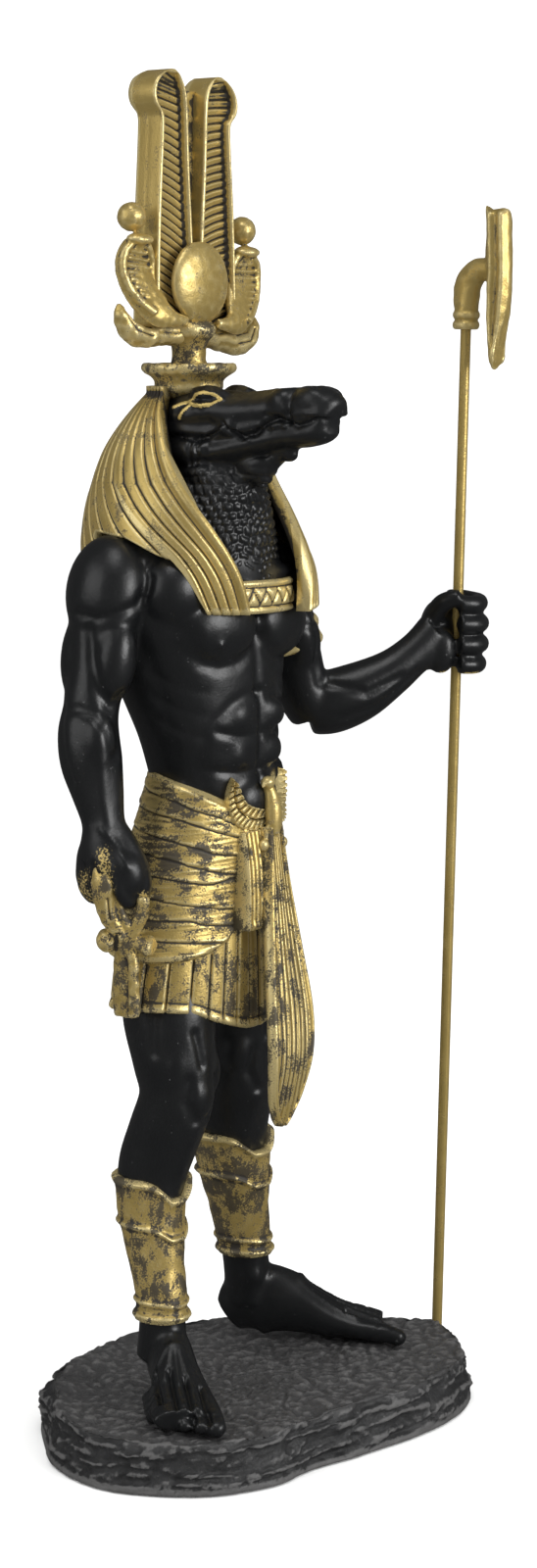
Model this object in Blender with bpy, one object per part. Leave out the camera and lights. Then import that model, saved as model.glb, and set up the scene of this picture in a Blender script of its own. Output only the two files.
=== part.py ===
"""Standing figure with a crocodile's head and a staff, cast in resin as a shelf ornament.

Metres, +Z up. The figure faces -Y and its left side is +X. The origin is in the
middle of the underside of the base.
"""
import math

import bmesh
import bpy
from mathutils import Euler, Matrix, Vector, noise

# Sizes, in metres
FIGURE_HEIGHT = 0.289
BASE_THICKNESS = 0.012
BASE_MARGIN = 0.004
ROD_DIAMETER = 0.0024
ROD_LENGTH = 0.2447
ROD_CLEARANCE = 0.0003
SOCKET_DEPTH = 0.006
COLLAR_DEPTH = 0.005
COLLAR_WALL = 0.0013

# The figure is drawn in millimetres at this height, with the ground at this level.
# Every point and radius of the drawing is then a share of FIGURE_HEIGHT.
DRAWN_HEIGHT = 289.0
DRAWN_GROUND = 12.0
SHARE = FIGURE_HEIGHT / DRAWN_HEIGHT

# Places that several pieces share, as drawn
MIDDLE = -8.5
CROWN_Y = 12.2
CROWN_LEAN = 0.06
HORN_SHIFT = 0.7
GRIP = (57.1, -12.9, 176.5)
ROD_FOOT = (58.0, -8.0, DRAWN_GROUND)
FINGER_PITCH = 4.7

# How finely the flesh is modelled, and then all of it cast
CLAY_GRAIN = 1.05
CLAY_SOFTENING = 4
CAST_GRAIN = 0.55
CAST_SOFTENING = 1
FIGURE_TRIANGLES = 9150

BLACK_RESIN = (0.02, 0.02, 0.022)
ANTIQUE_GOLD = (0.72, 0.53, 0.22)


def at(x, y, z):
    """A drawn point, in the world."""
    return Vector((x * SHARE, y * SHARE, BASE_THICKNESS + (z - DRAWN_GROUND) * SHARE))


def wave(degrees):
    """Sine of an angle in degrees."""
    return math.sin(math.radians(degrees))


def ease(value, stops):
    """Reads a smooth curve through the stops, which are pairs of place and value."""
    if value <= stops[0][0]:
        return stops[0][1]
    for (low, start), (high, end) in zip(stops, stops[1:]):
        if value <= high:
            t = (value - low) / (high - low)
            return start + (end - start) * t * t * (3 - 2 * t)
    return stops[-1][1]


def flowing(rows, steps):
    """Rows of numbers on a smooth curve through the given rows."""
    ends = [rows[0]] + list(rows) + [rows[-1]]
    out = []
    for a, b, c, d in zip(ends, ends[1:], ends[2:], ends[3:]):
        for k in range(steps):
            t = k / steps
            out.append([0.5 * (2 * q + (r - p) * t + (2 * p - 5 * q + 4 * r - s) * t ** 2
                               + (3 * q - p - 3 * r + s) * t ** 3) for p, q, r, s in zip(a, b, c, d)])
    out.append(list(rows[-1]))
    return out


def skin(bm, rings):
    """A closed body through rings of points that all have one count."""
    loops = [[bm.verts.new(point) for point in ring] for ring in rings]
    count = len(loops[0])
    for low, high in zip(loops, loops[1:]):
        for i in range(count):
            j = (i + 1) % count
            bm.faces.new((low[i], low[j], high[j], high[i]))
    bm.faces.new(loops[0][::-1])
    bm.faces.new(loops[-1])


def stack(bm, rows, steps=3, sides=20):
    """A trunk of level ovals through rows of x, y, z, half width, half depth and turn."""
    rings = []
    for x, y, z, wide, deep, turn in flowing(rows, steps):
        ring = []
        for i in range(sides):
            a = 360 * i / sides
            u, v = wide * wave(a + 90), deep * wave(a)
            ring.append(at(x + u * wave(turn + 90) - v * wave(turn),
                           y + u * wave(turn) + v * wave(turn + 90), z))
        rings.append(ring)
    skin(bm, rings)


def limb(bm, rows, steps=3, sides=14, facing=(0, -1, 0)):
    """A limb through rows of x, y, z, half width and half depth, square to its own run."""
    rows = flowing(rows, steps)
    centres = [at(*row[:3]) for row in rows]
    rings = []
    for i, (row, centre) in enumerate(zip(rows, centres)):
        run = centres[min(i + 1, len(rows) - 1)] - centres[max(i - 1, 0)]
        side = run.cross(Vector(facing)).normalized()
        front = side.cross(run).normalized()
        rings.append([centre + side * (row[3] * SHARE * wave(360 * k / sides + 90))
                      + front * (row[4] * SHARE * wave(360 * k / sides)) for k in range(sides)])
    skin(bm, rings)


def lump(bm, centre, radii, tilt=(0, 0, 0), rings=8, sides=12):
    """An ellipsoid, tilted by degrees about X, Y and Z."""
    turn = Euler([math.radians(a) for a in tilt]).to_matrix().to_4x4()
    place = Matrix.Translation(at(*centre)) @ turn @ Matrix.Diagonal([r * SHARE for r in radii] + [1])
    bmesh.ops.create_uvsphere(bm, u_segments=sides, v_segments=rings, radius=1, matrix=place)


def pair(bm, centre, radii, tilt=(0, 0, 0), middle=MIDDLE):
    """An ellipsoid and its twin on the other side of the middle."""
    lump(bm, centre, radii, tilt)
    twin = (2 * middle - centre[0], centre[1], centre[2])
    lump(bm, twin, radii, (tilt[0], -tilt[1], -tilt[2]))


def torso(bm):
    """Hips, waist, chest, shoulders and neck, with their muscles."""
    stack(bm, [(-5.4, 9, 108, 15, 11, 0), (-5.4, 9, 120, 18.6, 13, 3), (-5.4, 9, 132, 18.2, 13.2, 6),
               (-5.4, 7.5, 142, 16.6, 12.2, 8), (-5.4, 6.4, 151, 16, 11.6, 9), (-5, 6.6, 160, 18.8, 12.6, 9),
               (-5.4, 8, 171, 21.5, 13.8, 8), (-5.5, 9, 181, 24.6, 14.4, 8), (-5.5, 10.4, 190, 25, 13.2, 6),
               (-6, 12.4, 197, 23, 11.5, 4), (-6.6, 13.6, 203, 18, 11, 0), (-7.4, 13, 212, 11, 10, 0)])
    stack(bm, [(-5.8, 9, 187, 17, 17.2, 4), (-6.5, 9, 196, 16.6, 16.6, 2), (-7.5, 9, 205, 15.8, 16.2, 0),
               (-8.2, 8, 213, 13.6, 16.4, 0), (-8.5, 6, 222, 10.4, 13, 0)])
    stack(bm, [(-6.5, 14, 192, 22, 10.4, 0), (-6.8, 14, 204, 19.8, 13.8, 0), (-7.4, 13.6, 213, 16.8, 12.6, 0),
               (-8.2, 13, 221, 13, 10.5, 0), (-8.5, 12, 230, 8, 7, 0)])
    pair(bm, (-16, -1.8, 180.6), (11.4, 6.6, 8.4), (10, 0, -14), middle=-5)
    pair(bm, (-12, -3.4, 177.4), (7.4, 5.2, 5.6), (0, 0, -8), middle=-5)
    pair(bm, (-24, 12, 174.5), (5.8, 8, 15.5), (0, 12, 0), middle=-5.5)
    pair(bm, (-22, 3, 190), (9, 7.4, 9), (0, -10, 0), middle=-5.8)
    pair(bm, (-14.5, 20, 184), (9.5, 4.6, 11), (0, 12, 0), middle=-5.5)
    pair(bm, (-9.6, 16.6, 160), (5.2, 3.8, 15), middle=-5)
    pair(bm, (-17.4, 4.4, 147), (3.8, 6, 5.4), (0, -8, 0), middle=-4.5)
    for row, z in enumerate((167, 160, 153)):
        pair(bm, (-9 + 0.3 * row, -5 + 0.9 * row, z), (4, 2.7, 3.4), (0, 0, 6), middle=-4.6)
    lump(bm, (-4.4, -3, 143.6), (8, 4.6, 6.4), (0, 0, 8))
    for k, z in enumerate((168.4, 164, 159.6)):
        pair(bm, (-21.4 + 0.8 * k, 1 + 0.6 * k, z), (1.9, 5, 2), (38, 0, 20), middle=-5)
    pair(bm, (-14, -5, 193.4), (10, 1.9, 1.8), (0, -6, -10), middle=-5.8)
    pair(bm, (-22, 13, 197.5), (11.5, 9.4, 7), (0, -14, 0), middle=-5.8)


def right_arm(bm):
    """The hanging arm, down to a fist round the looped cross."""
    limb(bm, [(-28, 14, 192, 7.5, 8), (-32, 14.5, 185, 7.4, 8.4), (-34.6, 14.4, 175, 6.2, 7.2),
              (-37.1, 14.4, 166, 5.8, 6.4), (-38.5, 14, 160, 6.4, 6.9), (-38.9, 12.8, 154, 6.5, 7),
              (-38.8, 11, 147.5, 5.2, 5.8), (-38.8, 9.2, 140.5, 4.1, 4.8), (-39.4, 7.6, 135, 4.6, 6)])
    lump(bm, (-32.4, 14, 190), (8, 9.6, 12.4), (0, 12, 0))
    lump(bm, (-35.4, 9.4, 175), (4.9, 5, 9), (6, 8, 0))
    lump(bm, (-35.4, 18.4, 176), (4.9, 4.8, 10.5), (0, 8, 0))
    lump(bm, (-40.4, 10.6, 157.5), (4.2, 5.2, 8), (6, 0, 0))
    lump(bm, (-39.2, 8.2, 132), (4.2, 7.4, 6.6), (10, 0, 0))
    for k in range(4):
        y = 2.2 + 3.4 * k
        limb(bm, [(-42, y, 131.5, 1.9, 1.9), (-42.2, y - 0.6, 127, 1.9, 1.9), (-39.6, y - 0.6, 124.4, 1.8, 1.8),
                  (-36.8, y, 126.4, 1.7, 1.7)], sides=8)
    limb(bm, [(-38, 1.4, 136, 2.4, 2.4), (-38.4, -2, 131.8, 2.2, 2.2), (-37, -2.8, 127, 1.9, 1.9)], sides=8)


def left_arm(bm):
    """The bent arm, up to a fist round the staff."""
    limb(bm, [(17, 13.6, 192, 7.5, 8), (22.4, 12.6, 184, 7.4, 8.4), (25.8, 11.4, 174, 6.4, 7.4),
              (28.4, 9.8, 164, 5.9, 6.6), (31, 8, 159, 6, 6.4)])
    limb(bm, [(29.6, 9.2, 159.8, 6, 6.4), (33.5, 5.4, 161, 6.4, 7.4), (38.6, 0.6, 163.6, 5.9, 6.9),
              (44.2, -4.2, 167.8, 4.8, 5.4), (48.8, -7.6, 172.2, 4.1, 4.8), (53, -9.6, 175.2, 4.4, 6)],
         facing=(0, 0, 1))
    lump(bm, (20.8, 12.6, 189), (8, 9.4, 12), (0, -14, 0))
    lump(bm, (24.6, 7.4, 175.4), (4.8, 5, 9), (10, -16, 0))
    lump(bm, (26.4, 15.4, 174), (4.6, 4.6, 9.5), (-6, -16, 0))
    x, y, z = GRIP
    lump(bm, (x - 1.6, y + 4.4, z - 0.5), (4.6, 4.4, 8), (0, 0, 30))
    lump(bm, (x - 4.6, y + 1.4, z - 4), (3, 3.8, 5.4), (0, 0, 20))
    for k in range(4):
        level = z + 1.5 * FINGER_PITCH - FINGER_PITCH * k
        reach = 5.6 - 0.5 * (k == 3) - 0.3 * (k == 0)
        bend = [(x + 0.3 + reach * wave(a + 90), y + reach * wave(a), level + 0.5 * wave(a), 2.1, 2.1)
                for a in (70, 20, -35, -90, -140)]
        limb(bm, bend, sides=8, facing=(0, 0, 1))
    limb(bm, [(x - 4, y + 4, z + 3, 2.6, 2.6), (x - 5, y + 0.4, z + 7, 2.3, 2.3),
              (x - 3.4, y - 3.6, z + 8.6, 2, 2)], sides=8, facing=(0, 0, 1))


def legs(bm):
    """Both legs, from the hips to the ankles."""
    limb(bm, [(-15, 9, 126, 11, 12.5), (-18, 8, 112, 11.4, 12.4), (-20.6, 6.6, 98, 10.4, 11.4),
              (-21.2, 5.2, 87, 8.9, 9.6), (-21.3, 4.4, 79, 8, 8.6), (-22.2, 7.4, 70, 7.8, 8.4),
              (-23.3, 9.8, 62, 7.4, 8.2), (-24.5, 9.4, 53, 6.4, 7.2), (-25.3, 7.4, 44, 5.4, 6.2),
              (-26, 5, 35, 4.7, 5.3), (-26.2, 4.6, 27, 4.8, 5.6), (-26.4, 5, 20, 4.8, 6)])
    limb(bm, [(5, 9, 126, 11, 12.5), (7.4, 11.4, 112, 11.2, 12.2), (9, 13.6, 98, 10.2, 11),
              (10.2, 14.6, 87, 9, 9.8), (10.8, 15, 78, 8.8, 9.4), (12, 17, 69, 8.6, 9.2),
              (13.3, 18.4, 61, 8.4, 9.2), (14.6, 18.8, 52, 7.3, 8.1), (16.4, 18.8, 44, 6.1, 6.9),
              (18, 18.6, 35, 5.3, 5.9), (19, 18.6, 27, 5.1, 5.8), (19, 18.8, 20, 5, 6)])
    lump(bm, (-21.6, -1.8, 80), (4.6, 3.4, 5.4))
    lump(bm, (-16.5, 0.6, 87), (4.2, 4.6, 8), (0, -10, 0))
    lump(bm, (-25, 0.6, 92), (4.4, 5, 10), (0, 8, 0))
    lump(bm, (10.8, 9, 79), (4.6, 3.4, 5.4))
    lump(bm, (6, 10, 87), (4.2, 4.6, 8), (0, 10, 0))
    lump(bm, (14.4, 10, 91), (4.4, 5, 10), (0, -8, 0))


def foot(bm, heel, toe_side):
    """A bare foot from its heel, pointing along toe_side, with five toes."""
    length = math.hypot(*toe_side)
    ahead = (toe_side[0] / length, toe_side[1] / length)
    inner = 1 if ahead[0] < 0 else -1
    across = (-ahead[1] * inner, ahead[0] * inner)
    step = length / 38

    def spot(along, aside, z):
        return (heel[0] + ahead[0] * along * step + across[0] * aside,
                heel[1] + ahead[1] * along * step + across[1] * aside, DRAWN_GROUND + z)

    rows = [(1, 0, 4.2, 3.6, 4.4), (5, 0, 7.4, 4.8, 8), (10, 0, 9.2, 5.1, 9.4), (16, 0.2, 7.2, 5.3, 6.8),
            (23, 0.4, 4.2, 6.3, 4.5), (29, 0.4, 2.9, 6.9, 3.3), (33, 0.4, 2.2, 6.6, 2.6)]
    limb(bm, [spot(*row[:3]) + row[3:] for row in rows], facing=(0, 0, 1))
    for k in range(5):
        aside = 5 - 2.75 * k
        tip = 38 - 0.8 * k * (k > 0) - 0.35 * k * k
        fat = 2.3 if k == 0 else 1.75 - 0.08 * k
        limb(bm, [spot(tip - 11, aside * 0.95, 3.2) + (fat, fat), spot(tip - 4, aside, 2.2) + (fat, fat),
                  spot(tip - 0.6, aside, 1.2) + (fat * 0.85, fat * 0.8)], sides=8, facing=(0, 0, 1))


def head(bm):
    """The crocodile's head: skull, long jaws, brow ridges, nostril bumps and jaw bulges."""
    lump(bm, (MIDDLE, 7, 225), (9.6, 11, 8))
    limb(bm, [(MIDDLE, 8, 226.4, 10, 6.6), (MIDDLE, 0, 228, 9, 4.8), (MIDDLE, -8, 228, 6.8, 4),
              (MIDDLE, -14, 228.4, 5.3, 4.1), (MIDDLE, -20, 228.6, 5.3, 4.3), (MIDDLE, -24.6, 228.4, 5.2, 4.8),
              (MIDDLE, -27, 227.8, 4.2, 3.8), (MIDDLE, -28.4, 227.4, 2.2, 2.2)], facing=(0, 0, 1))
    limb(bm, [(MIDDLE, 9, 219.6, 9.4, 5.6), (MIDDLE, 1, 219.6, 8.6, 4), (MIDDLE, -8, 221.4, 6.6, 2.8),
              (MIDDLE, -15, 222.8, 5, 2.1), (MIDDLE, -22, 223.2, 4.7, 2.1), (MIDDLE, -26.4, 224, 3.6, 1.8)],
         facing=(0, 0, 1))
    pair(bm, (MIDDLE - 5, 0.6, 231.6), (2.8, 5.4, 2.2), (8, 0, 14))
    pair(bm, (MIDDLE - 3.2, -18, 232), (2.2, 2.6, 1.6))
    pair(bm, (MIDDLE - 2.4, -24.6, 232.2), (2.4, 2.6, 1.9))
    pair(bm, (MIDDLE - 3.8, -23, 227), (2.4, 4.4, 2.4))
    pair(bm, (MIDDLE - 6.6, 5.2, 220.2), (3.8, 4.2, 3.8))
    pair(bm, (MIDDLE - 6, 2, 215.4), (3.8, 4.6, 3.2))
    pair(bm, (MIDDLE - 5.6, -5.4, 225), (2.4, 2.4, 2.2))
    lump(bm, (MIDDLE, -17, 219.4), (1.9, 2.2, 1.8))
    limb(bm, [(MIDDLE, -18, 221, 1.6, 1.6), (MIDDLE, -13, 218, 2, 1.8), (MIDDLE, -8.6, 212.6, 2.2, 1.8)],
         sides=8)


# The stone's own outline, drawn at the ground, anticlockwise from the rod's side
STONE = [(52.8, -14.8), (56, -7.2), (50.5, 1.5), (41, 14), (31.4, 26.4), (17.4, 34.6), (0.5, 39), (-15, 37),
         (-28.4, 34), (-41, 22), (-49.2, 11), (-52, -2), (-48.4, -13), (-40, -23.2), (-27.2, -28.6),
         (-15.4, -28), (3, -31), (20, -32.6), (34.2, -30), (44.6, -23.8)]


def stone_ring(share, level, roughness, turns=2):
    """One ring of the stone's outline, at a share of its reach and a level in metres."""
    ring = []
    for x, y in flowing(STONE + STONE[:1], turns)[:-1]:
        out = Vector((x, y, 0)).normalized()
        reach = Vector((x, y, 0)) * SHARE + out * BASE_MARGIN
        grain = noise.noise(Vector((x, y, level * 2000)) * 0.11) * roughness * SHARE
        ring.append(reach * share + out * grain + Vector((0, 0, level)))
    return ring


def base(bm):
    """The rough stone that the figure and the rod stand on, flat underneath."""
    thick = BASE_THICKNESS
    rings = [stone_ring(1.0, -thick * 0.2, 0), stone_ring(1.0, 0, 0), stone_ring(1.0, thick * 0.3, 1.4),
             stone_ring(0.985, thick * 0.68, 2.0), stone_ring(0.955, thick * 0.98, 1.6)]
    for share in (0.8, 0.55, 0.28):
        ring = stone_ring(share, thick, 0)
        for point in ring:
            point.z += noise.noise(point / SHARE * 0.09) * 0.9 * SHARE
        rings.append(ring)
    skin(bm, rings)


def solid(name, draw):
    """An object with the mesh that draw fills."""
    bm = bmesh.new()
    draw(bm)
    bmesh.ops.recalc_face_normals(bm, faces=bm.faces)
    mesh = bpy.data.meshes.new(name)
    bm.to_mesh(mesh)
    bm.free()
    piece = bpy.data.objects.new(name, mesh)
    bpy.context.scene.collection.objects.link(piece)
    return piece


def settle(piece):
    """Turns a piece's modifiers into its mesh."""
    finished = bpy.data.meshes.new_from_object(piece.evaluated_get(bpy.context.evaluated_depsgraph_get()))
    piece.modifiers.clear()
    piece.data = finished


def cast(name, draw, grain, softening):
    """One skin round overlapping forms, softened as clay is."""
    piece = solid(name, draw)
    remesh = piece.modifiers.new("one skin", "REMESH")
    remesh.mode = "VOXEL"
    remesh.voxel_size = grain * SHARE
    soften = piece.modifiers.new("soften", "SMOOTH")
    soften.factor = 0.5
    soften.iterations = softening
    settle(piece)
    return piece


def thin_out(piece, triangles):
    """Thins a piece to a count of triangles, and keeps its form."""
    thin = piece.modifiers.new("thin", "DECIMATE")
    thin.ratio = min(1.0, triangles / (2 * len(piece.data.polygons)))
    thin.use_collapse_triangulate = True
    settle(piece)


def flatten_underside(piece):
    """Cuts a piece off flat at the ground."""
    bm = bmesh.new()
    bm.from_mesh(piece.data)
    cut = bmesh.ops.bisect_plane(bm, geom=bm.verts[:] + bm.edges[:] + bm.faces[:], plane_co=(0, 0, 0),
                                 plane_no=(0, 0, 1), clear_inner=True)
    rim = [item for item in cut["geom_cut"] if isinstance(item, bmesh.types.BMEdge)]
    bmesh.ops.contextual_create(bm, geom=rim)
    bmesh.ops.triangulate(bm, faces=[face for face in bm.faces if len(face.verts) > 4])
    bm.to_mesh(piece.data)
    bm.free()


def combine(piece, tool, operation):
    """Joins a tool to a piece, or cuts it away, and drops the tool."""
    boolean = piece.modifiers.new(tool.name, "BOOLEAN")
    boolean.operation = operation
    boolean.solver = "EXACT"
    boolean.object = tool
    bpy.context.view_layer.update()
    settle(piece)
    bpy.data.objects.remove(tool)


def flesh(bm):
    """All that is painted black above the base."""
    torso(bm)
    right_arm(bm)
    left_arm(bm)
    legs(bm)
    foot(bm, (-20.4, 9.4), (-23.4, -28.6))
    foot(bm, (16.6, 23.6), (25, -34.6))
    head(bm)


# The head cloth as drawn: its radius at each level, where it opens for the face in
# degrees from the front, and the level of its lower edge from front to back
CLOTH_RADIUS = [(185, 23.2), (192, 24), (199, 24.2), (203, 23.8), (208, 22.8), (212, 21.6), (216, 20.2),
                (220, 18.4), (224, 15.8), (228, 12.6), (232, 8.8)]
CLOTH_OPENING = [(185, 17), (194, 24), (203, 36), (209, 46), (215, 56), (224, 69), (232, 84)]
CLOTH_EDGE = [(0, 185), (0.068, 185.4), (0.098, 197), (0.2, 202), (0.33, 195), (0.5, 191)]
CLOTH_LEFT_FLARE = [(185, 4), (194, 2.4), (203, -0.8), (212, -2.2), (222, -1), (230, 0)]
CLOTH_TOP = 233.5
CLOTH_STRIPES = 26
CLOTH_GROOVE = 0.9


def cloth_point(along, down, sunk):
    """A point of the head cloth: along from one front edge to the other, down from the crown."""
    lower = ease(min(along, 1 - along), CLOTH_EDGE)
    z = CLOTH_TOP - (CLOTH_TOP - lower) * down
    opening = ease(z, CLOTH_OPENING)
    a = opening + (360 - 2 * opening) * along
    middle = MIDDLE + (CLOTH_TOP - z) / 48.5 * 2.4
    flare = ease(z, CLOTH_LEFT_FLARE) * ease(along, [(0.55, 0), (0.9, 1)])
    radius = ease(z, CLOTH_RADIUS) + flare - sunk
    wide = radius * (1.0 + 0.03 * down)
    return at(middle - wide * wave(a), 12 - radius * wave(a + 90), z)


def head_cloth(bm):
    """The striped head cloth, a shell open at the face, with two lappets on the chest."""
    columns = 2 * CLOTH_STRIPES
    downs = (0, 0.18, 0.38, 0.6, 0.82, 1)
    rings = []
    for i in range(columns + 1):
        groove = CLOTH_GROOVE if i % 2 else 0
        outer = [cloth_point(i / columns, d, groove) for d in downs]
        inner = [cloth_point(i / columns, d, 5) for d in reversed(downs)]
        rings.append(outer + inner)
    skin(bm, rings)


def turned(bm, middle, profile, sides=24):
    """A turned form through pairs of radius and level, about an upright line."""
    skin(bm, [[at(middle[0] + r * wave(360 * k / sides + 90), middle[1] + r * wave(360 * k / sides), z)
               for k in range(sides)] for r, z in profile])


def crown_dish(bm):
    """The low turned dish on the head and the stem above it."""
    turned(bm, (MIDDLE, CROWN_Y - 0.8),
           [(8.4, 229), (7.8, 233), (7.9, 235), (9.6, 236.1), (10.4, 237.2), (9.9, 238.3), (8.8, 238.6),
            (4.4, 237.6), (3.8, 239.5), (4.1, 242), (6, 245), (5, 248)])


def horns(bm):
    """The wavy ram's horns, level on both sides, with upturned tips."""
    half = [(0, 244.8, 2.6, 3.2), (4, 244.4, 2.8, 3.4), (9, 244, 2.6, 3), (14, 243.6, 2, 2.8),
            (18, 244, 1.9, 2.5), (20.6, 245.8, 1.7, 2.1), (22, 248, 1.2, 1.5), (22.2, 249.4, 0.6, 0.7)]
    both = [(-x, z, up, deep) for x, z, up, deep in half[:0:-1]] + half
    limb(bm, [(MIDDLE + HORN_SHIFT + x, CROWN_Y, z - CROWN_LEAN * x, up, deep) for x, z, up, deep in both],
         steps=2, sides=10)


PLUME_FOOT = 246.0
PLUME_TOP = 300.0
PLUME_LOBE = 291.0
PLUME_INNER = [(PLUME_FOOT, 0.8), (264, 1.3), (280, 2.3), (294, 2.9), (297, 3.8), (299, 5.4), (PLUME_TOP, 7)]
PLUME_OUTER = [(PLUME_FOOT, 13), (268, 12.4), (288, 11.2), (290.5, 11.5), (292.6, 13.2), (295, 13.6),
               (297.6, 12.4), (299.2, 10), (PLUME_TOP, 8)]
PLUME_RIBS = 9
PLUME_RIM = 1.2
PLUME_HOLLOW = 2.2


def plume(bm, side):
    """One tall plume: a thick blade with a raised rim round ribs that slope from its spine."""
    front, back = CROWN_Y - 3.4, CROWN_Y + 4
    rib = (PLUME_LOBE - PLUME_FOOT - 2) / PLUME_RIBS
    levels = [(PLUME_FOOT, 0.0)]
    for k in range(PLUME_RIBS):
        levels += [(PLUME_FOOT + 2 + rib * k, 1.0), (PLUME_FOOT + 2 + rib * (k + 0.5), 0.4)]
    levels += [(292.6, 1.0), (295.8, 0.9), (297.8, 0.1), (299.2, 0.0), (PLUME_TOP, 0.0)]
    rings = []
    for z, depth in levels:
        near, far = ease(z, PLUME_INNER), ease(z, PLUME_OUTER)
        rim = min(PLUME_RIM, (far - near) / 5)
        floor = front + PLUME_HOLLOW * depth
        slope = 1.6 * min(depth * 2, 1)
        section = [(far, back - 0.4, 0), (far, front, 0), (far - rim, front, 0), (far - rim, floor, slope),
                   ((near + far) / 2, floor, slope * 0.4), (near + rim, floor, -slope), (near + rim, front, 0),
                   (near, front, 0), (near, back - 0.4, 0), ((near + far) / 2, back, 0)]
        rings.append([at(MIDDLE + side * x, y, z + shift - CROWN_LEAN * side * x) for x, y, shift in section])
    skin(bm, rings)


def disc(bm):
    """The domed sun disc in front of the plumes, and the web that joins the two behind."""
    lump(bm, (MIDDLE, CROWN_Y - 4, 255.6), (8.7, 2.8, 8.8), rings=10, sides=24)
    limb(bm, [(MIDDLE, CROWN_Y + 1.6, 246, 5, 1.8), (MIDDLE, CROWN_Y + 1.6, 280, 5, 1.8),
              (MIDDLE, CROWN_Y + 1.6, 296.4, 5, 1.8)], steps=1, sides=8)


def cobra(bm, side):
    """A rearing cobra beside the plumes, with a ball on its head."""
    rows = [(6, -4.4, 247.4, 1.5, 1.4), (11, -4, 246.8, 1.7, 1.6), (16, -2.4, 248.6, 2, 1.9),
            (17.6, -0.6, 253, 3, 2), (18.2, 0, 258, 3.8, 2), (17.6, -0.4, 262, 3, 2),
            (17.4, -2.2, 264.6, 1.9, 1.7), (17.2, -4.8, 264.4, 1.3, 1.2)]
    limb(bm, [(MIDDLE + side * x, CROWN_Y + y, z - CROWN_LEAN * side * x, wide, deep)
              for x, y, z, wide, deep in rows], sides=10, facing=(0, -1, 0.05))
    lump(bm, (MIDDLE + side * 18, CROWN_Y - 0.6, 268.2 - CROWN_LEAN * side * 18), (3.1, 3.1, 3.1))


# The kilt as drawn: middle, half width, half depth and turn at each level
KILT = [(95, -6.8, 9.4, 27.6, 15.2, 2), (105, -6.6, 9.6, 26.2, 15, 3), (116, -6.4, 9.8, 24, 14.6, 4),
        (130, -6.2, 9.4, 21.4, 14, 6), (140, -6, 8, 18.6, 13, 8), (151, -5.6, 6.6, 16.4, 11.8, 9)]
KILT_PLEATS = 24

# Where the skirt and the wrap over it end, as levels by degrees from the front
SKIRT_HEM = [(0, 93.2), (26, 96), (40, 98.2), (72, 99.2), (180, 97.5)]
SKIRT_TOP = 128
WRAP_TOP = [(0, 139.5), (38, 143.8), (73, 147.5), (115, 150), (180, 151.5)]
WRAP_LOW = [(0, 117.5), (14, 117), (28, 112.3), (42, 110.7), (55, 110), (180, 111)]
WRAP_FOLDS = 6


def kilt_radii(z):
    """The kilt's middle, half sizes and turn at a level."""
    for low, high in zip(KILT, KILT[1:]):
        if z <= high[0]:
            t = max(0.0, (z - low[0]) / (high[0] - low[0]))
            return [p + (q - p) * t for p, q in zip(low[1:], high[1:])]
    return list(KILT[-1][1:])


def kilt_point(a, z, proud):
    """A point of the kilt at an angle from the front, towards the figure's right."""
    x, y, wide, deep, turn = kilt_radii(z)
    u, v = -(wide + proud) * wave(a), -(deep + proud) * wave(a + 90)
    return at(x + u * wave(turn + 90) - v * wave(turn), y + u * wave(turn) + v * wave(turn + 90), z)


def kilt_skirt(bm):
    """The pleated skirt under the wrap, closed below as it is cast."""
    count = 2 * KILT_PLEATS
    rings = []
    for rise in (0, 0.25, 0.5, 0.75, 1):
        ring = []
        for k in range(count):
            a = 360 * k / count
            hem = ease(min(a, 360 - a), SKIRT_HEM)
            ring.append(kilt_point(a, hem + (SKIRT_TOP - hem) * rise, -0.4 - 0.9 * (k % 2)))
        rings.append(ring)
    skin(bm, rings)


def kilt_wrap(bm):
    """The upper cloth drawn round the hips in soft folds that run to the buckle."""
    sides = 40
    rings = []
    for row in range(2 * WRAP_FOLDS + 1):
        down = row / (2 * WRAP_FOLDS)
        ring = []
        for k in range(sides):
            a = 360 * k / sides
            from_front = min(a, 360 - a)
            top, low = ease(from_front, WRAP_TOP), ease(from_front, WRAP_LOW)
            ring.append(kilt_point(a, top + (low - top) * down, 1.4 if row % 2 else 0.5))
        rings.append(ring)
    skin(bm, rings[::-1])


def apron(bm):
    """The long stiff apron in front, widening to a rounded foot, clear of the thighs below."""
    rows = [(-3.8, -7.4, 138, 2.6, 2.2), (-4.2, -9.4, 126, 3.8, 1.9), (-4.8, -12, 112, 5.6, 1.8),
            (-5.3, -14.4, 98, 7.2, 1.8), (-6.2, -15.4, 88, 7, 1.8), (-7.1, -14.8, 80, 5.4, 1.6),
            (-7.7, -14.2, 75, 3.2, 1.3), (-7.9, -14, 72.6, 1.4, 0.9)]
    limb(bm, rows, steps=2, sides=12)


def tab(bm):
    """The short pleated tab beside the apron."""
    rings = []
    for z, x, y, narrow in ((137, -8.2, -6.6, 0.9), (128, -8.8, -8.6, 1), (116, -9.2, -8.8, 1.05)):
        front = [(x + (k - 4) * 1.1 * narrow, y + 0.15 * k - 0.55 * (k % 2)) for k in range(9)]
        rings.append([at(px, py, z) for px, py in front + [(x + 4.4, y + 4), (x - 4.4, y + 4)]])
    skin(bm, rings)


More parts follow.
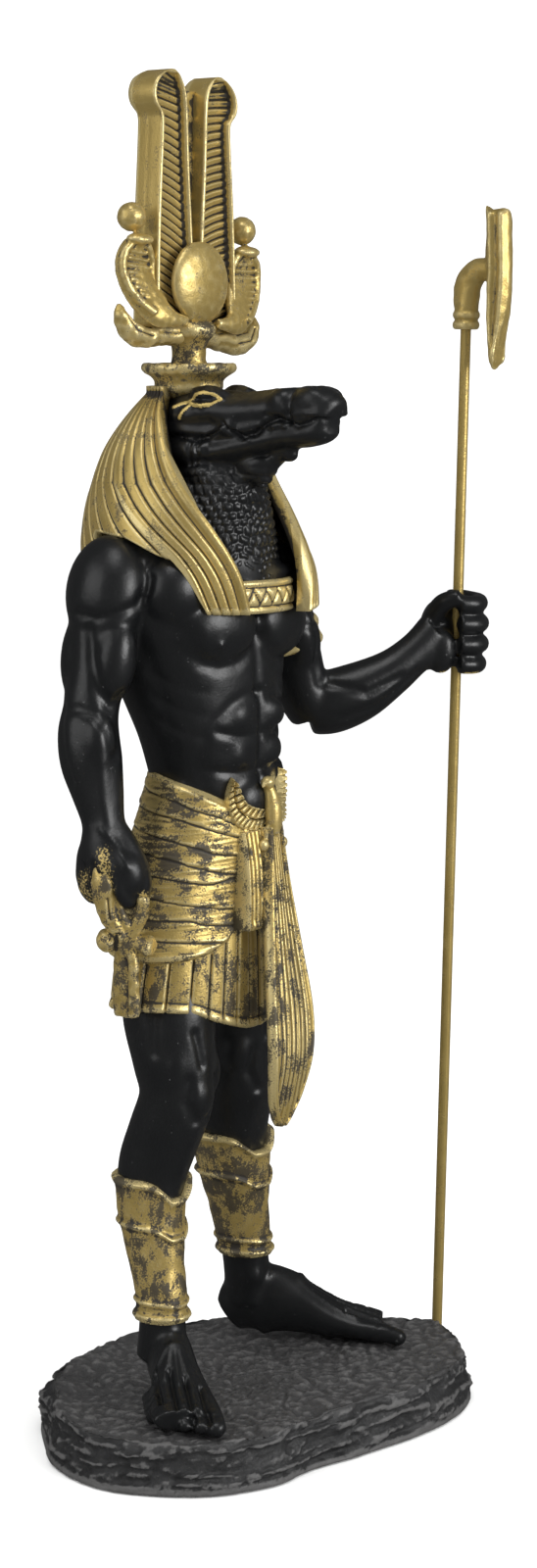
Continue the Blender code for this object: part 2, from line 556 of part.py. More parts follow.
def buckle(bm):
    """The falcon buckle with its wings spread upwards."""
    x, y = -5.2, -7.2
    limb(bm, [(x + 0.6, y + 0.2, 147, 1.3, 1.2), (x + 0.2, y - 0.6, 143, 2.2, 1.8), (x, y - 0.6, 138, 2, 1.7),
              (x - 0.2, y - 0.4, 133, 2.8, 1.2)], steps=2, sides=8)
    lump(bm, (x + 0.2, y - 0.6, 147.6), (1.5, 1.9, 1.5), rings=6, sides=8)
    for side in (-1, 1):
        for k in range(5):
            a = 8 + 24 * k
            tip = (x + side * (3 + 7.4 * wave(a)), y + 1.6 + 0.8 * wave(a), 140.6 + 8 * wave(a + 90))
            limb(bm, [(x + side * 1.2, y + 0.4, 140, 1.2, 1.2), tip + (1.35, 1.1)], steps=1, sides=6)


def looped_cross(bm):
    """The looped cross that hangs from the right fist and lies against the kilt."""
    knot = (-34.8, 5.2, 116.6)
    for rows in ([(-38.6, 12.4, 131, 1.7, 1.7), (-38.4, 12, 126, 1.7, 1.8), (-37, 9.6, 120.6, 1.7, 1.8)],
                 [(-37.6, 4.4, 130, 1.6, 1.6), (-37, 5.4, 125.6, 1.6, 1.6), (-36, 5.8, 120.6, 1.6, 1.7)]):
        limb(bm, rows + [knot + (1.8, 1.9)], steps=2, sides=8)
    limb(bm, [(-34.8, 5.8, 118.4, 2.4, 2.8), (-34.2, 6.4, 108, 2.6, 2.8), (-33.4, 7, 98.8, 3, 3.2)],
         steps=2, sides=8)
    limb(bm, [(-35.2, 11.4, 114.8, 2, 2), knot + (1.9, 1.9), (-33.4, -1, 114.2, 2.4, 2.6)], steps=2, sides=8,
         facing=(1, 0, 0))
    lump(bm, (-35.6, 12.4, 114.6), (2.8, 2.9, 2.8))


def greave_rows(leg):
    """A greave's rows from a leg's own: level, middle, half width and half depth."""
    flare = ((0, 1.4), (0.03, 1.9), (0.07, 1.3), (0.3, 1.0), (0.34, 1.7), (0.38, 1.0), (0.7, 0.9), (0.93, 0.9),
             (0.96, 1.6), (1, 1.0))
    rows = []
    for down, proud in flare:
        z = leg[0][0] + (leg[-1][0] - leg[0][0]) * down
        for high, low in zip(leg, leg[1:]):
            if z >= low[0] - 1e-6:
                t = (high[0] - z) / (high[0] - low[0])
                x, y, wide, deep = [p + (q - p) * t for p, q in zip(high[1:], low[1:])]
                rows.append((x, y, z, wide + proud, deep + proud))
                break
    return rows


RIGHT_GREAVE = [(61, -23.5, 9.8, 7.2, 7.8), (53, -24.5, 9.4, 6.2, 7), (44, -25.3, 7.4, 5.2, 5.9),
                (35, -26, 5.1, 4.5, 5), (29.5, -26.2, 4.7, 4.7, 5.2)]
LEFT_GREAVE = [(63, 13, 18.2, 8.2, 8.8), (53, 14.5, 18.8, 7.1, 7.8), (44, 16.4, 18.8, 5.8, 6.5),
               (37, 17.7, 18.7, 5.2, 5.7), (32, 18.6, 18.6, 5.1, 5.5)]


def collar(bm):
    """The flat band across the throat, between the lappets."""
    rows = []
    for k in range(7):
        a = -24 + 8 * k
        rows.append((-5.8 + 21 * wave(a), 11.4 - 20.4 * wave(a + 90), 188.6, 1.3, 3.6))
    limb(bm, rows, steps=1, sides=8, facing=(0, 0, 1))


def armlet(bm):
    """The band round the left upper arm."""
    limb(bm, [(24.2, 12.8, 178.6, 7.2, 8.2), (24.9, 12.4, 176.2, 7.2, 8.2), (25.6, 12.1, 173.8, 7, 8)],
         steps=1, sides=14)


def rod_line():
    """The rod's foot on the ground and its direction, through the grip."""
    foot_point = at(*ROD_FOOT)
    return foot_point, (at(*GRIP) - foot_point).normalized()


def along_rod(name, start, end, radius, sides=16):
    """A round bar on the rod's own line, between two distances from the ground."""
    foot_point, up = rod_line()
    bpy.ops.mesh.primitive_cylinder_add(vertices=sides, radius=radius, depth=end - start)
    bar = bpy.context.object
    bar.name = name
    bar.location = foot_point + up * (start + end) / 2
    bar.rotation_euler = up.to_track_quat("Z", "Y").to_euler()
    return bar


def paint(piece, name, colour, roughness, metallic):
    """Gives a piece its own finish and shades it smooth."""
    material = bpy.data.materials.new(name)
    material.use_nodes = True
    shader = material.node_tree.nodes["Principled BSDF"]
    shader.inputs["Base Color"].default_value = (*colour, 1)
    shader.inputs["Roughness"].default_value = roughness
    shader.inputs["Metallic"].default_value = metallic
    piece.data.materials.clear()
    piece.data.materials.append(material)
    piece.data.shade_smooth()
    piece.data.set_sharp_from_angle(angle=math.radians(40))


def drop_hollows(piece):
    """Fills the sealed spaces that the joints leave inside a solid, as the casting does."""
    bm = bmesh.new()
    bm.from_mesh(piece.data)
    seen = set()
    for start in bm.verts:
        if start in seen:
            continue
        shell, edge = {start}, [start]
        while edge:
            vert = edge.pop()
            for link in vert.link_edges:
                other = link.other_vert(vert)
                if other not in shell:
                    shell.add(other)
                    edge.append(other)
        seen |= shell
        faces = {face for vert in shell for face in vert.link_faces}
        volume = sum(f.calc_area() * f.normal.dot(f.calc_center_median()) for f in faces)
        if volume <= 0:
            bmesh.ops.delete(bm, geom=list(shell), context="VERTS")
    bm.to_mesh(piece.data)
    bm.free()


def dress(bm):
    """All that is worn, held or stood on, over the flesh."""
    base(bm)
    head_cloth(bm)
    crown_dish(bm)
    horns(bm)
    disc(bm)
    for side in (-1, 1):
        plume(bm, side)
        cobra(bm, side)
    kilt_skirt(bm)
    kilt_wrap(bm)
    apron(bm)
    tab(bm)
    buckle(bm)
    looped_cross(bm)
    collar(bm)
    armlet(bm)
    limb(bm, greave_rows(RIGHT_GREAVE), steps=1)
    limb(bm, greave_rows(LEFT_GREAVE), steps=1)


def make_figure():
    """The cast figure with its clothes, crown and base, as one solid."""
    body = cast("flesh", flesh, CLAY_GRAIN, CLAY_SOFTENING)

    def whole(bm):
        dress(bm)
        bmesh.ops.recalc_face_normals(bm, faces=bm.faces)
        bm.from_mesh(body.data)

    figure = cast("figure", whole, CAST_GRAIN, CAST_SOFTENING)
    bpy.data.objects.remove(body)
    thin_out(figure, FIGURE_TRIANGLES)
    drop_hollows(figure)
    flatten_underside(figure)
    hole = ROD_DIAMETER / 2 + ROD_CLEARANCE
    grip = (at(*GRIP) - at(*ROD_FOOT)).length
    reach = 3 * FINGER_PITCH * SHARE
    combine(figure, along_rod("grip bore", grip - reach, grip + reach, hole), "DIFFERENCE")
    combine(figure, along_rod("socket", -SOCKET_DEPTH, reach, hole), "DIFFERENCE")
    paint(figure, "satin black resin", BLACK_RESIN, 0.42, 0.0)
    return figure


def make_rod():
    """The straight rod, from its socket in the base to the staff's head."""
    start = ROD_CLEARANCE - SOCKET_DEPTH
    rod = along_rod("staff_rod", start, start + ROD_LENGTH, ROD_DIAMETER / 2)
    paint(rod, "gilt rod", ANTIQUE_GOLD, 0.35, 0.9)
    return rod


# The staff's head as drawn, each place as how far ahead of the rod and above its top
NECK_SPINE = [(0, -0.6, 2.7, 2.8), (0, 2.2, 2.6, 3.2), (0.6, 5.4, 2.5, 3.3), (3, 8, 2.3, 2.9),
              (6, 8.4, 2.1, 2.6), (9.4, 8.2, 2, 2.6)]
BLADE_EDGE = [(5.4, 22.8), (7, 21.7), (11.4, 21.6), (11.9, 15.5), (12.2, 9), (12, 2.5), (11.2, -1.8),
              (9.9, -6.2), (8.2, -14.1), (6.6, -10.6), (6.5, -4), (6.2, 1.5), (5.5, 10.9), (5.8, 15.6)]
BLADE_CORE = (9, 5)
BLADE_EDGE_HALF = 0.9
BLADE_CORE_HALF = 2.1
COLLAR_SIDES = 12
NECK_SIDES = 8


def make_staff_head():
    """The staff's head: a ringed collar, a bent neck and a long blade."""
    top = ROD_LENGTH - SOCKET_DEPTH + ROD_CLEARANCE
    foot_point, up = rod_line()
    hole = ROD_DIAMETER / 2 + ROD_CLEARANCE
    middle = foot_point + up * top
    wide = hole + COLLAR_WALL

    def ringed_collar(bm):
        frame = Matrix.Translation(middle) @ up.to_track_quat("Z", "Y").to_matrix().to_4x4()
        rings = []
        for share, depth in ((1, -1), (1.08, -0.8), (1, -0.55), (1.08, -0.3), (0.98, 0), (0.96, 0.3)):
            ring = []
            for k in range(COLLAR_SIDES):
                a = 360 * k / COLLAR_SIDES
                ring.append(frame @ Vector((share * wide * wave(a + 90), share * wide * wave(a),
                                            depth * COLLAR_DEPTH)))
            rings.append(ring)
        skin(bm, rings)

    def bent_neck(bm):
        rings = []
        path = flowing(NECK_SPINE, 2)
        for i, (ahead, rise, thick, deep) in enumerate(path):
            low, high = path[max(i - 1, 0)], path[min(i + 1, len(path) - 1)]
            run = Vector((0, low[0] - high[0], high[1] - low[1])).normalized()
            side = Vector((1, 0, 0))
            out = run.cross(side)
            centre = middle + Vector((0, -ahead, rise)) * SHARE
            ring = []
            for k in range(NECK_SIDES):
                a = 360 * k / NECK_SIDES
                ring.append(centre + (side * thick * wave(a + 90) + out * deep * wave(a)) * SHARE)
            rings.append(ring)
        skin(bm, rings)

    def blade(bm):
        core = [(BLADE_CORE[0] + (a - BLADE_CORE[0]) * 0.55, BLADE_CORE[1] + (r - BLADE_CORE[1]) * 0.86)
                for a, r in BLADE_EDGE]
        rings = []
        for x, points in ((-BLADE_CORE_HALF, core), (-BLADE_EDGE_HALF, BLADE_EDGE),
                          (BLADE_EDGE_HALF, BLADE_EDGE), (BLADE_CORE_HALF, core)):
            rings.append([middle + Vector((x, -a, r)) * SHARE for a, r in points])
        skin(bm, rings)

    head_piece = solid("staff_head", ringed_collar)
    combine(head_piece, solid("bent neck", bent_neck), "UNION")
    combine(head_piece, solid("blade", blade), "UNION")
    combine(head_piece, along_rod("rod hole", top - 2 * COLLAR_DEPTH, top + ROD_CLEARANCE, hole), "DIFFERENCE")
    paint(head_piece, "antique gold casting", ANTIQUE_GOLD, 0.4, 0.8)
    return head_piece


for leftover in list(bpy.data.objects):
    bpy.data.objects.remove(leftover)
make_figure()
make_rod()
make_staff_head()
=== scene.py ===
"""The finished look of the crocodile-headed statuette, modelled over its solids.

All of it is drawn in millimetres in the frame of the solids: +Z up, the figure
faces -Y, and its left side is +X.
"""
import math

import bmesh
import bpy
import numpy as np
from mathutils import Euler, Matrix, Vector, noise


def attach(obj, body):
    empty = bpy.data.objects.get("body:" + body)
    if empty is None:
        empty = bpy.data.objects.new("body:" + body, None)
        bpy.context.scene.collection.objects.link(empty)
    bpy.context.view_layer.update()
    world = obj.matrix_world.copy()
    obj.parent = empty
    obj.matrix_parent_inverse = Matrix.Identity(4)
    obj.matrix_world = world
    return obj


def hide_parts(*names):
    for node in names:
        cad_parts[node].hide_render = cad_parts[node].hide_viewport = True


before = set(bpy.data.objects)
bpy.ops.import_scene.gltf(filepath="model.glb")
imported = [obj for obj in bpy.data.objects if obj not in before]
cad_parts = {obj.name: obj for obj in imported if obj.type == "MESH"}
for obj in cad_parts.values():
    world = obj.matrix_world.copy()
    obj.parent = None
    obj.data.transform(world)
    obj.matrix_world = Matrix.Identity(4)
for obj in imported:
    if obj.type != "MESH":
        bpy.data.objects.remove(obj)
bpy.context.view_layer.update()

MM = 0.001
MIDDLE = -8.5
CROWN_Y = 12.2
CROWN_LEAN = 0.06
HORN_SHIFT = 0.7
GROUND = 12.0
GRIP = (57.1, -12.9, 176.5)
ROD_FOOT = (58.0, -8.0, GROUND)
ROD_TOP_Z = 250.6

# How finely each part is modelled
BODY_GRAIN = 0.46
HEAD_GRAIN = 0.36
SMALL_GRAIN = 0.26
# The share of its triangles that a thinned piece keeps: the others go where it is smoothest
KEPT_SHARE = 0.47

# The directions that a stroke is laid along. The photo looks at the right arm ASIDE,
# from the front and the figure's right
RIGHT_SIDE = (1, 0, 0)
LEFT_SIDE = (-1, 0, 0)
FRONT = (0, 1, 0)
BACK = (0, -1, 0)
DOWNWARD = (0, 0, -1)
ASIDE = (0.766, 0.643, -0.14)

# The camera stands where the photo was taken from, in metres and degrees
CAMERA_PLACE = (-0.5347, -0.4527, 0.2460)
CAMERA_DOWN = 8.112
CAMERA_TURN = -50
CAMERA_LENS = 73.49
LIGHT_AIM = (0, 0, 0.16)
ROOM_LIGHT = 1.3
ROOM_SHEEN = 0.09


def at(x, y, z):
    """A drawn point, in metres."""
    return Vector((x, y, z)) * MM


def wave(degrees):
    """Sine of an angle in degrees."""
    return math.sin(math.radians(degrees))


def ease(value, stops):
    """Reads a smooth curve through the stops, which are pairs of place and value."""
    if value <= stops[0][0]:
        return stops[0][1]
    for (low, start), (high, end) in zip(stops, stops[1:]):
        if value <= high:
            t = (value - low) / (high - low)
            return start + (end - start) * t * t * (3 - 2 * t)
    return stops[-1][1]


def curve(value, stops):
    """Reads a flowing curve through the stops, with no flats at them."""
    count = len(stops)
    if value <= stops[0][0]:
        return stops[0][1]
    if value >= stops[-1][0]:
        return stops[-1][1]
    k = next(i for i in range(count - 1) if value <= stops[i + 1][0])
    wide = stops[k + 1][0] - stops[k][0]
    slopes = []
    for i in (k, k + 1):
        low, high = stops[max(i - 1, 0)], stops[min(i + 1, count - 1)]
        slopes.append((high[1] - low[1]) / (high[0] - low[0]))
    t = (value - stops[k][0]) / wide
    return ((2 * t ** 3 - 3 * t * t + 1) * stops[k][1] + (t ** 3 - 2 * t * t + t) * wide * slopes[0]
            + (3 * t * t - 2 * t ** 3) * stops[k + 1][1] + (t ** 3 - t * t) * wide * slopes[1])


def groove(distance, half):
    """How deep a groove is at a distance from its middle, from 1 down to 0."""
    return math.exp(-(distance / half) ** 2)


def flowing(rows, steps):
    """Rows of numbers on a smooth curve through the given rows."""
    ends = [rows[0]] + list(rows) + [rows[-1]]
    out = []
    for a, b, c, d in zip(ends, ends[1:], ends[2:], ends[3:]):
        for k in range(steps):
            t = k / steps
            out.append([0.5 * (2 * q + (r - p) * t + (2 * p - 5 * q + 4 * r - s) * t ** 2
                               + (3 * q - p - 3 * r + s) * t ** 3) for p, q, r, s in zip(a, b, c, d)])
    out.append(list(rows[-1]))
    return out


def skin(bm, rings, hooped=False):
    """A closed body through rings of one count, capped at its ends or joined in a hoop."""
    loops = [[bm.verts.new(point) for point in ring] for ring in rings]
    count = len(loops[0])
    following = loops[1:] + loops[:1] if hooped else loops[1:]
    for low, high in zip(loops, following):
        for i in range(count):
            j = (i + 1) % count
            bm.faces.new((low[i], low[j], high[j], high[i]))
    if not hooped:
        bm.faces.new(loops[0][::-1])
        bm.faces.new(loops[-1])


def stack(bm, rows, steps=6, sides=40):
    """A trunk of level ovals through rows of x, y, z, half width, half depth and turn."""
    rings = []
    for x, y, z, wide, deep, turn in flowing(rows, steps):
        ring = []
        for i in range(sides):
            a = 360 * i / sides
            u, v = wide * wave(a + 90), deep * wave(a)
            ring.append(at(x + u * wave(turn + 90) - v * wave(turn),
                           y + u * wave(turn) + v * wave(turn + 90), z))
        rings.append(ring)
    skin(bm, rings)


def limb(bm, rows, steps=6, sides=24, facing=(0, -1, 0)):
    """A limb through rows of x, y, z, half width and half depth, square to its own run."""
    rows = flowing(rows, steps)
    centres = [at(*row[:3]) for row in rows]
    rings = []
    for i, (row, centre) in enumerate(zip(rows, centres)):
        run = centres[min(i + 1, len(rows) - 1)] - centres[max(i - 1, 0)]
        side = run.cross(Vector(facing)).normalized()
        front = side.cross(run).normalized()
        rings.append([centre + side * (row[3] * MM * wave(360 * k / sides + 90))
                      + front * (row[4] * MM * wave(360 * k / sides)) for k in range(sides)])
    skin(bm, rings)


def lump(bm, centre, radii, tilt=(0, 0, 0), rings=16, sides=24):
    """An ellipsoid, tilted by degrees about X, Y and Z."""
    turn = Euler([math.radians(a) for a in tilt]).to_matrix().to_4x4()
    place = Matrix.Translation(at(*centre)) @ turn @ Matrix.Diagonal([r * MM for r in radii] + [1])
    bmesh.ops.create_uvsphere(bm, u_segments=sides, v_segments=rings, radius=1, matrix=place)


def pair(bm, centre, radii, tilt=(0, 0, 0), middle=MIDDLE):
    """An ellipsoid and its twin on the other side of the middle."""
    lump(bm, centre, radii, tilt)
    twin = (2 * middle - centre[0], centre[1], centre[2])
    lump(bm, twin, radii, (tilt[0], -tilt[1], -tilt[2]))


def draft(name, draw):
    """A piece with the mesh that draw fills."""
    bm = bmesh.new()
    draw(bm)
    bmesh.ops.recalc_face_normals(bm, faces=bm.faces)
    mesh = bpy.data.meshes.new(name)
    bm.to_mesh(mesh)
    bm.free()
    piece = bpy.data.objects.new(name, mesh)
    bpy.context.scene.collection.objects.link(piece)
    return piece


def pick(piece):
    """Selects one piece alone and makes it the active one."""
    bpy.ops.object.select_all(action="DESELECT")
    piece.select_set(True)
    bpy.context.view_layer.objects.active = piece


def shape(piece, kind, **settings):
    """Adds a modifier to a piece and applies it."""
    pick(piece)
    change = piece.modifiers.new(kind.lower(), kind)
    for key, value in settings.items():
        setattr(change, key, value)
    bpy.ops.object.modifier_apply(modifier=change.name)


def drop_hollows(piece):
    """Removes the closed spaces that a remesh leaves inside a piece."""
    bm = bmesh.new()
    bm.from_mesh(piece.data)
    seen = set()
    for start in bm.verts:
        if start in seen:
            continue
        shell, edge = {start}, [start]
        while edge:
            vert = edge.pop()
            for link in vert.link_edges:
                other = link.other_vert(vert)
                if other not in shell:
                    shell.add(other)
                    edge.append(other)
        seen |= shell
        faces = {face for vert in shell for face in vert.link_faces}
        if sum(face.calc_area() * face.normal.dot(face.calc_center_median()) for face in faces) <= 0:
            bmesh.ops.delete(bm, geom=list(shell), context="VERTS")
    bm.to_mesh(piece.data)
    bm.free()


def one_skin(piece, grain):
    """Makes overlapping forms one closed skin of small squares."""
    shape(piece, "REMESH", mode="VOXEL", voxel_size=grain * MM)
    drop_hollows(piece)


def thin(piece):
    """Takes points out of a dense piece, with its ends cut into triangles first so that they hold."""
    shape(piece, "TRIANGULATE", quad_method="FIXED", ngon_method="CLIP")
    shape(piece, "DECIMATE", ratio=KEPT_SHARE)


class Clay:
    """A piece's points in millimetres, worked with tools, then put back on the piece."""

    def __init__(self, piece):
        self.piece = piece
        mesh = piece.data
        count = len(mesh.vertices)
        flat = np.empty(count * 3, np.float32)
        mesh.vertices.foreach_get("co", flat)
        self.points = flat.reshape(-1, 3).astype(float) / MM
        ends = np.empty(len(mesh.edges) * 2, np.int32)
        mesh.edges.foreach_get("vertices", ends)
        self.ends = ends.reshape(-1, 2)
        self.links = np.maximum(np.bincount(self.ends.ravel(), minlength=count), 1)[:, None]
        self.gilt = np.zeros(count)
        # darkening that a piece adds to its hollow layer: painted shade on the head cloth and the plumes, and
        # black over the web
        self.dark = np.zeros(count)
        self.feel()

    def feel(self):
        """Puts the points back on the piece and reads which way each of them faces."""
        mesh = self.piece.data
        mesh.vertices.foreach_set("co", (self.points * MM).astype(np.float32).ravel())
        mesh.update()
        flat = np.empty(len(mesh.vertices) * 3, np.float32)
        mesh.vertices.foreach_get("normal", flat)
        self.out = flat.reshape(-1, 3).astype(float)

    def means(self, values):
        """The mean of each point's neighbours."""
        a, b = self.ends[:, 0], self.ends[:, 1]
        sums = [np.bincount(a, values[b, k], len(values)) + np.bincount(b, values[a, k], len(values))
                for k in range(values.shape[1])]
        return np.stack(sums, 1) / self.links

    def soften(self, times, where=1.0):
        """Rubs the surface smooth, all over or by a share at each point."""
        for _ in range(times):
            self.points += (self.means(self.points) - self.points) * 0.6 * np.reshape(where, (-1, 1))
        self.feel()

    def near(self, path, look):
        """How far each point is from a path, as seen along a direction."""
        look = np.array(look, float) / np.linalg.norm(look)
        flat = self.points - np.outer(self.points @ look, look)
        path = np.array(path, float)
        path = path - np.outer(path @ look, look)
        best = np.full(len(flat), 1e9)
        for a, b in zip(path, path[1:]):
            run = b - a
            t = np.clip(((flat - a) @ run) / max(run @ run, 1e-9), 0, 1)
            best = np.minimum(best, ((flat - a - t[:, None] * run) ** 2).sum(1))
        return np.sqrt(best), np.clip(-(self.out @ look) * 2.5, 0, 1)

    def stroke(self, path, half, height, look=FRONT, where=1.0):
        """Raises a ridge along a path, or cuts a groove where the height is negative."""
        away, faces = self.near(path, look)
        self.points += self.out * (np.exp(-(away / half) ** 2) * faces * height * where)[:, None]

    def dab(self, centre, half, height, look=FRONT, where=1.0):
        """Raises or presses one round spot."""
        self.stroke([centre, np.array(centre) + (0, 0, 0.01)], half, height, look, where)

    def dent(self, depth, size):
        """Makes the surface uneven, as a casting is."""
        bumps = np.array([noise.noise(Vector(point) * size) for point in self.points])
        self.points += self.out * (bumps * depth)[:, None]
        self.feel()

    def gild(self, path, half, look=FRONT, firm=2.0, where=1.0):
        """Lays gold paint along a path, fading at its sides unless it is firm."""
        away, faces = self.near(path, look)
        self.gilt = np.maximum(self.gilt, np.clip((half - away) / half * firm, 0, 1) * faces * where)

    def zone(self, centre, reach, edge):
        """A share that is 1 within a reach of a place and falls to 0 over an edge."""
        away = np.linalg.norm(self.points - np.array(centre, float), axis=1)
        return np.clip((reach + edge - away) / edge, 0, 1)

    def finish(self, times=8, depth=0.12):
        """Puts the points back, with what the paint needs to know about each."""
        self.feel()
        blurred = self.points.copy()
        for _ in range(times):
            blurred += (self.means(blurred) - blurred) * 0.7
        hollow = ((blurred - self.points) * self.out).sum(1) / depth
        mesh = self.piece.data
        # the hollow layer also holds the piece's added darkening: painted shade on the head cloth and the
        # plumes
        for name, values in (("hollow", np.clip(hollow, -1, 1) + self.dark), ("gilt", self.gilt)):
            layer = mesh.attributes.new(name, "FLOAT", "POINT")
            layer.data.foreach_set("value", values.astype(np.float32))
        mesh.shade_smooth()


class Socket:
    """One output of a finish's node. Sums on it add Math nodes."""

    def __init__(self, finish, socket):
        self.finish = finish
        self.socket = socket

    def sum(self, operation, first, second):
        return self.finish.node("ShaderNodeMath", {"operation": operation}, {0: first, 1: second})

    def __add__(self, other):
        return self.sum("ADD", self, other)

    def __sub__(self, other):
        return self.sum("SUBTRACT", self, other)

    def __rsub__(self, other):
        return self.sum("SUBTRACT", other, self)

    def __mul__(self, other):
        return self.sum("MULTIPLY", self, other)

    __radd__ = __add__
    __rmul__ = __mul__


class Finish:
    """A painted finish, built on one shader."""

    def __init__(self, name):
        self.material = bpy.data.materials.new(name)
        self.material.use_nodes = True
        self.tree = self.material.node_tree
        self.shader = self.tree.nodes["Principled BSDF"]
        self.places = self.node("ShaderNodeTexCoord", {}, {}, "Object")

    def node(self, kind, settings, values, output=0):
        """Adds a node with its settings and what goes into its sockets."""
        made = self.tree.nodes.new(kind)
        for key, setting in settings.items():
            setattr(made, key, setting)
        for key, value in values.items():
            self.feed(made.inputs[key], value)
        return Socket(self, made.outputs[output])

    def feed(self, socket, value):
        """Links a socket, or sets its own value."""
        if isinstance(value, Socket):
            self.tree.links.new(value.socket, socket)
        else:
            socket.default_value = value

    def grain(self, per_mm, detail=3, stretch=None):
        """Noise with so many features to a millimetre, drawn out along an axis if asked."""
        places = self.places
        if stretch:
            places = self.node("ShaderNodeMapping", {}, {"Vector": places, "Scale": stretch})
        return self.node("ShaderNodeTexNoise", {}, {"Vector": places, "Scale": per_mm / MM, "Detail": detail})

    def read(self, name):
        """A value that the modelling left on each point."""
        return self.node("ShaderNodeAttribute", {"attribute_name": name}, {}, "Fac")

    def step(self, value, low, high, start=0.0, end=1.0):
        """Turns a value from start to end as it goes from low to high."""
        return self.node("ShaderNodeMapRange", {"interpolation_type": "SMOOTHSTEP"},
                         {"Value": value, "From Min": low, "From Max": high, "To Min": start, "To Max": end})

    def blend(self, share, first, second):
        """Mixes two colours."""
        made = self.tree.nodes.new("ShaderNodeMix")
        made.data_type = "RGBA"
        for key, value in ((0, share), (6, first), (7, second)):
            self.feed(made.inputs[key], value)
        return Socket(self, made.outputs[2])

    def put(self, **values):
        """Feeds the shader's own sockets, named with underscores for spaces."""
        for key, value in values.items():
            self.feed(self.shader.inputs[key.replace("_", " ")], value)

    def relief(self, height, depth_mm):
        """A fine relief that only the light shows."""
        self.put(Normal=self.node("ShaderNodeBump", {}, {"Height": height, "Distance": depth_mm * MM,
                                                         "Strength": 1.0}))


def black_resin(name):
    """Satin black over the resin, with gold where it is gilt and dust in the hollows."""
    paint = Finish(name)
    broad = paint.grain(0.09, 2)
    fine = paint.grain(2.2, 4)
    gold_share = paint.step(paint.read("gilt") + (fine - 0.5) * 1.1, 0.36, 0.56)
    dust = paint.step(paint.grain(1.3, 2), 0.73, 0.76, 0, 0.16)
    black = paint.blend(broad, (0.0035, 0.0039, 0.0043, 1), (0.0062, 0.0067, 0.0073, 1))
    black = paint.blend(dust, black, (0.25, 0.25, 0.25, 1))
    paint.put(Base_Color=paint.blend(gold_share, black, (0.60, 0.45, 0.16, 1)), Metallic=gold_share * 0.7,
              Roughness=paint.step(broad + (fine - 0.5) * 0.4, 0.3, 0.8, 0.31, 0.41))
    paint.relief(paint.grain(0.5, 3) * 0.7 + fine * 0.3, 0.08)
    return paint.material


def antique_gold(name, wash_and_shade=1.0, patches=0.5, aged=0.0, drawn_out=None):
    """Old gold, with a painted highlight of pale gold on the high places, black left in the hollows and in
    patches, and painted shade where a piece adds it to its hollows.
    """
    paint = Finish(name)
    hollow = paint.read("hollow")
    broad = paint.grain(0.11, 3)
    streak = paint.grain(0.55, 4, drawn_out)
    fine = paint.grain(2.6, 4)
    speck = paint.step(fine, 0.66, 0.74, 0, 0.5)
    patch = paint.grain(0.2, 3)
    rubbed = paint.step((patch - 0.5) * 1.5 + (streak - 0.5) * 1.1 + (fine - 0.5) * 1.1 + aged, 0.10, 0.34,
                        0, patches)
    # black in the hollows: the wash left in them, and the painted shade that the head cloth and the plumes add
    # to their hollow layer
    sunk = paint.step(hollow * wash_and_shade + (streak - 0.5) * 0.5 + (fine - 0.5) * 0.35, 0.14, 0.64)
    black_share = paint.node("ShaderNodeClamp", {}, {"Value": sunk + rubbed + speck * patches})
    # painted highlight: pale gold laid on the raised places
    highlight_share = paint.step(hollow * -1 + (fine - 0.5) * 0.4, 0.05, 0.6)
    gold = paint.blend(broad, (0.40, 0.285, 0.085, 1), (0.62, 0.465, 0.165, 1))
    gold = paint.blend(highlight_share * 0.6, gold, (0.88, 0.74, 0.38, 1))
    paint.put(Base_Color=paint.blend(black_share, gold, (0.026, 0.021, 0.014, 1)),
              Metallic=0.78 - black_share * 0.66,
              Roughness=paint.step(fine + black_share * 0.5, 0.3, 1.1, 0.33, 0.56))
    paint.relief(streak * 0.5 + fine * 0.5, 0.12)
    return paint.material


def black_rock(name):
    """Dull black over rough cast stone, with painted highlights: grey on its raised places, uneven, and lighter
    on its flat top.
    """
    paint = Finish(name)
    hollow = paint.read("hollow")
    # the rock's flat top, for a painted light from above
    upper = paint.read("gilt")
    broad = paint.grain(0.06, 3)
    fine = paint.grain(1.5, 5)
    # painted highlight: grey on the raised places, uneven, and more on the top
    worn = paint.step(hollow * -1 + (fine - 0.5) * 1.2 + (broad - 0.5) * 0.8 + upper * 0.25, 0.15, 0.9,
                      0, 0.75)
    black = paint.blend(broad, (0.009, 0.009, 0.0095, 1), (0.019, 0.019, 0.0195, 1))
    # painted light: the flat top lighter
    black = paint.blend(upper * 0.6, black, (0.048, 0.047, 0.047, 1))
    dust = paint.step(paint.grain(0.9, 2), 0.74, 0.77, 0, 0.3)
    highlit_black = paint.blend(worn, black, (0.082, 0.080, 0.079, 1))
    paint.put(Base_Color=paint.blend(dust, highlit_black, (0.2, 0.2, 0.195, 1)),
              Roughness=paint.step(fine, 0.2, 0.8, 0.48, 0.72))
    paint.relief(paint.grain(0.3, 5) * 0.6 + fine * 0.4, 0.45)
    return paint.material


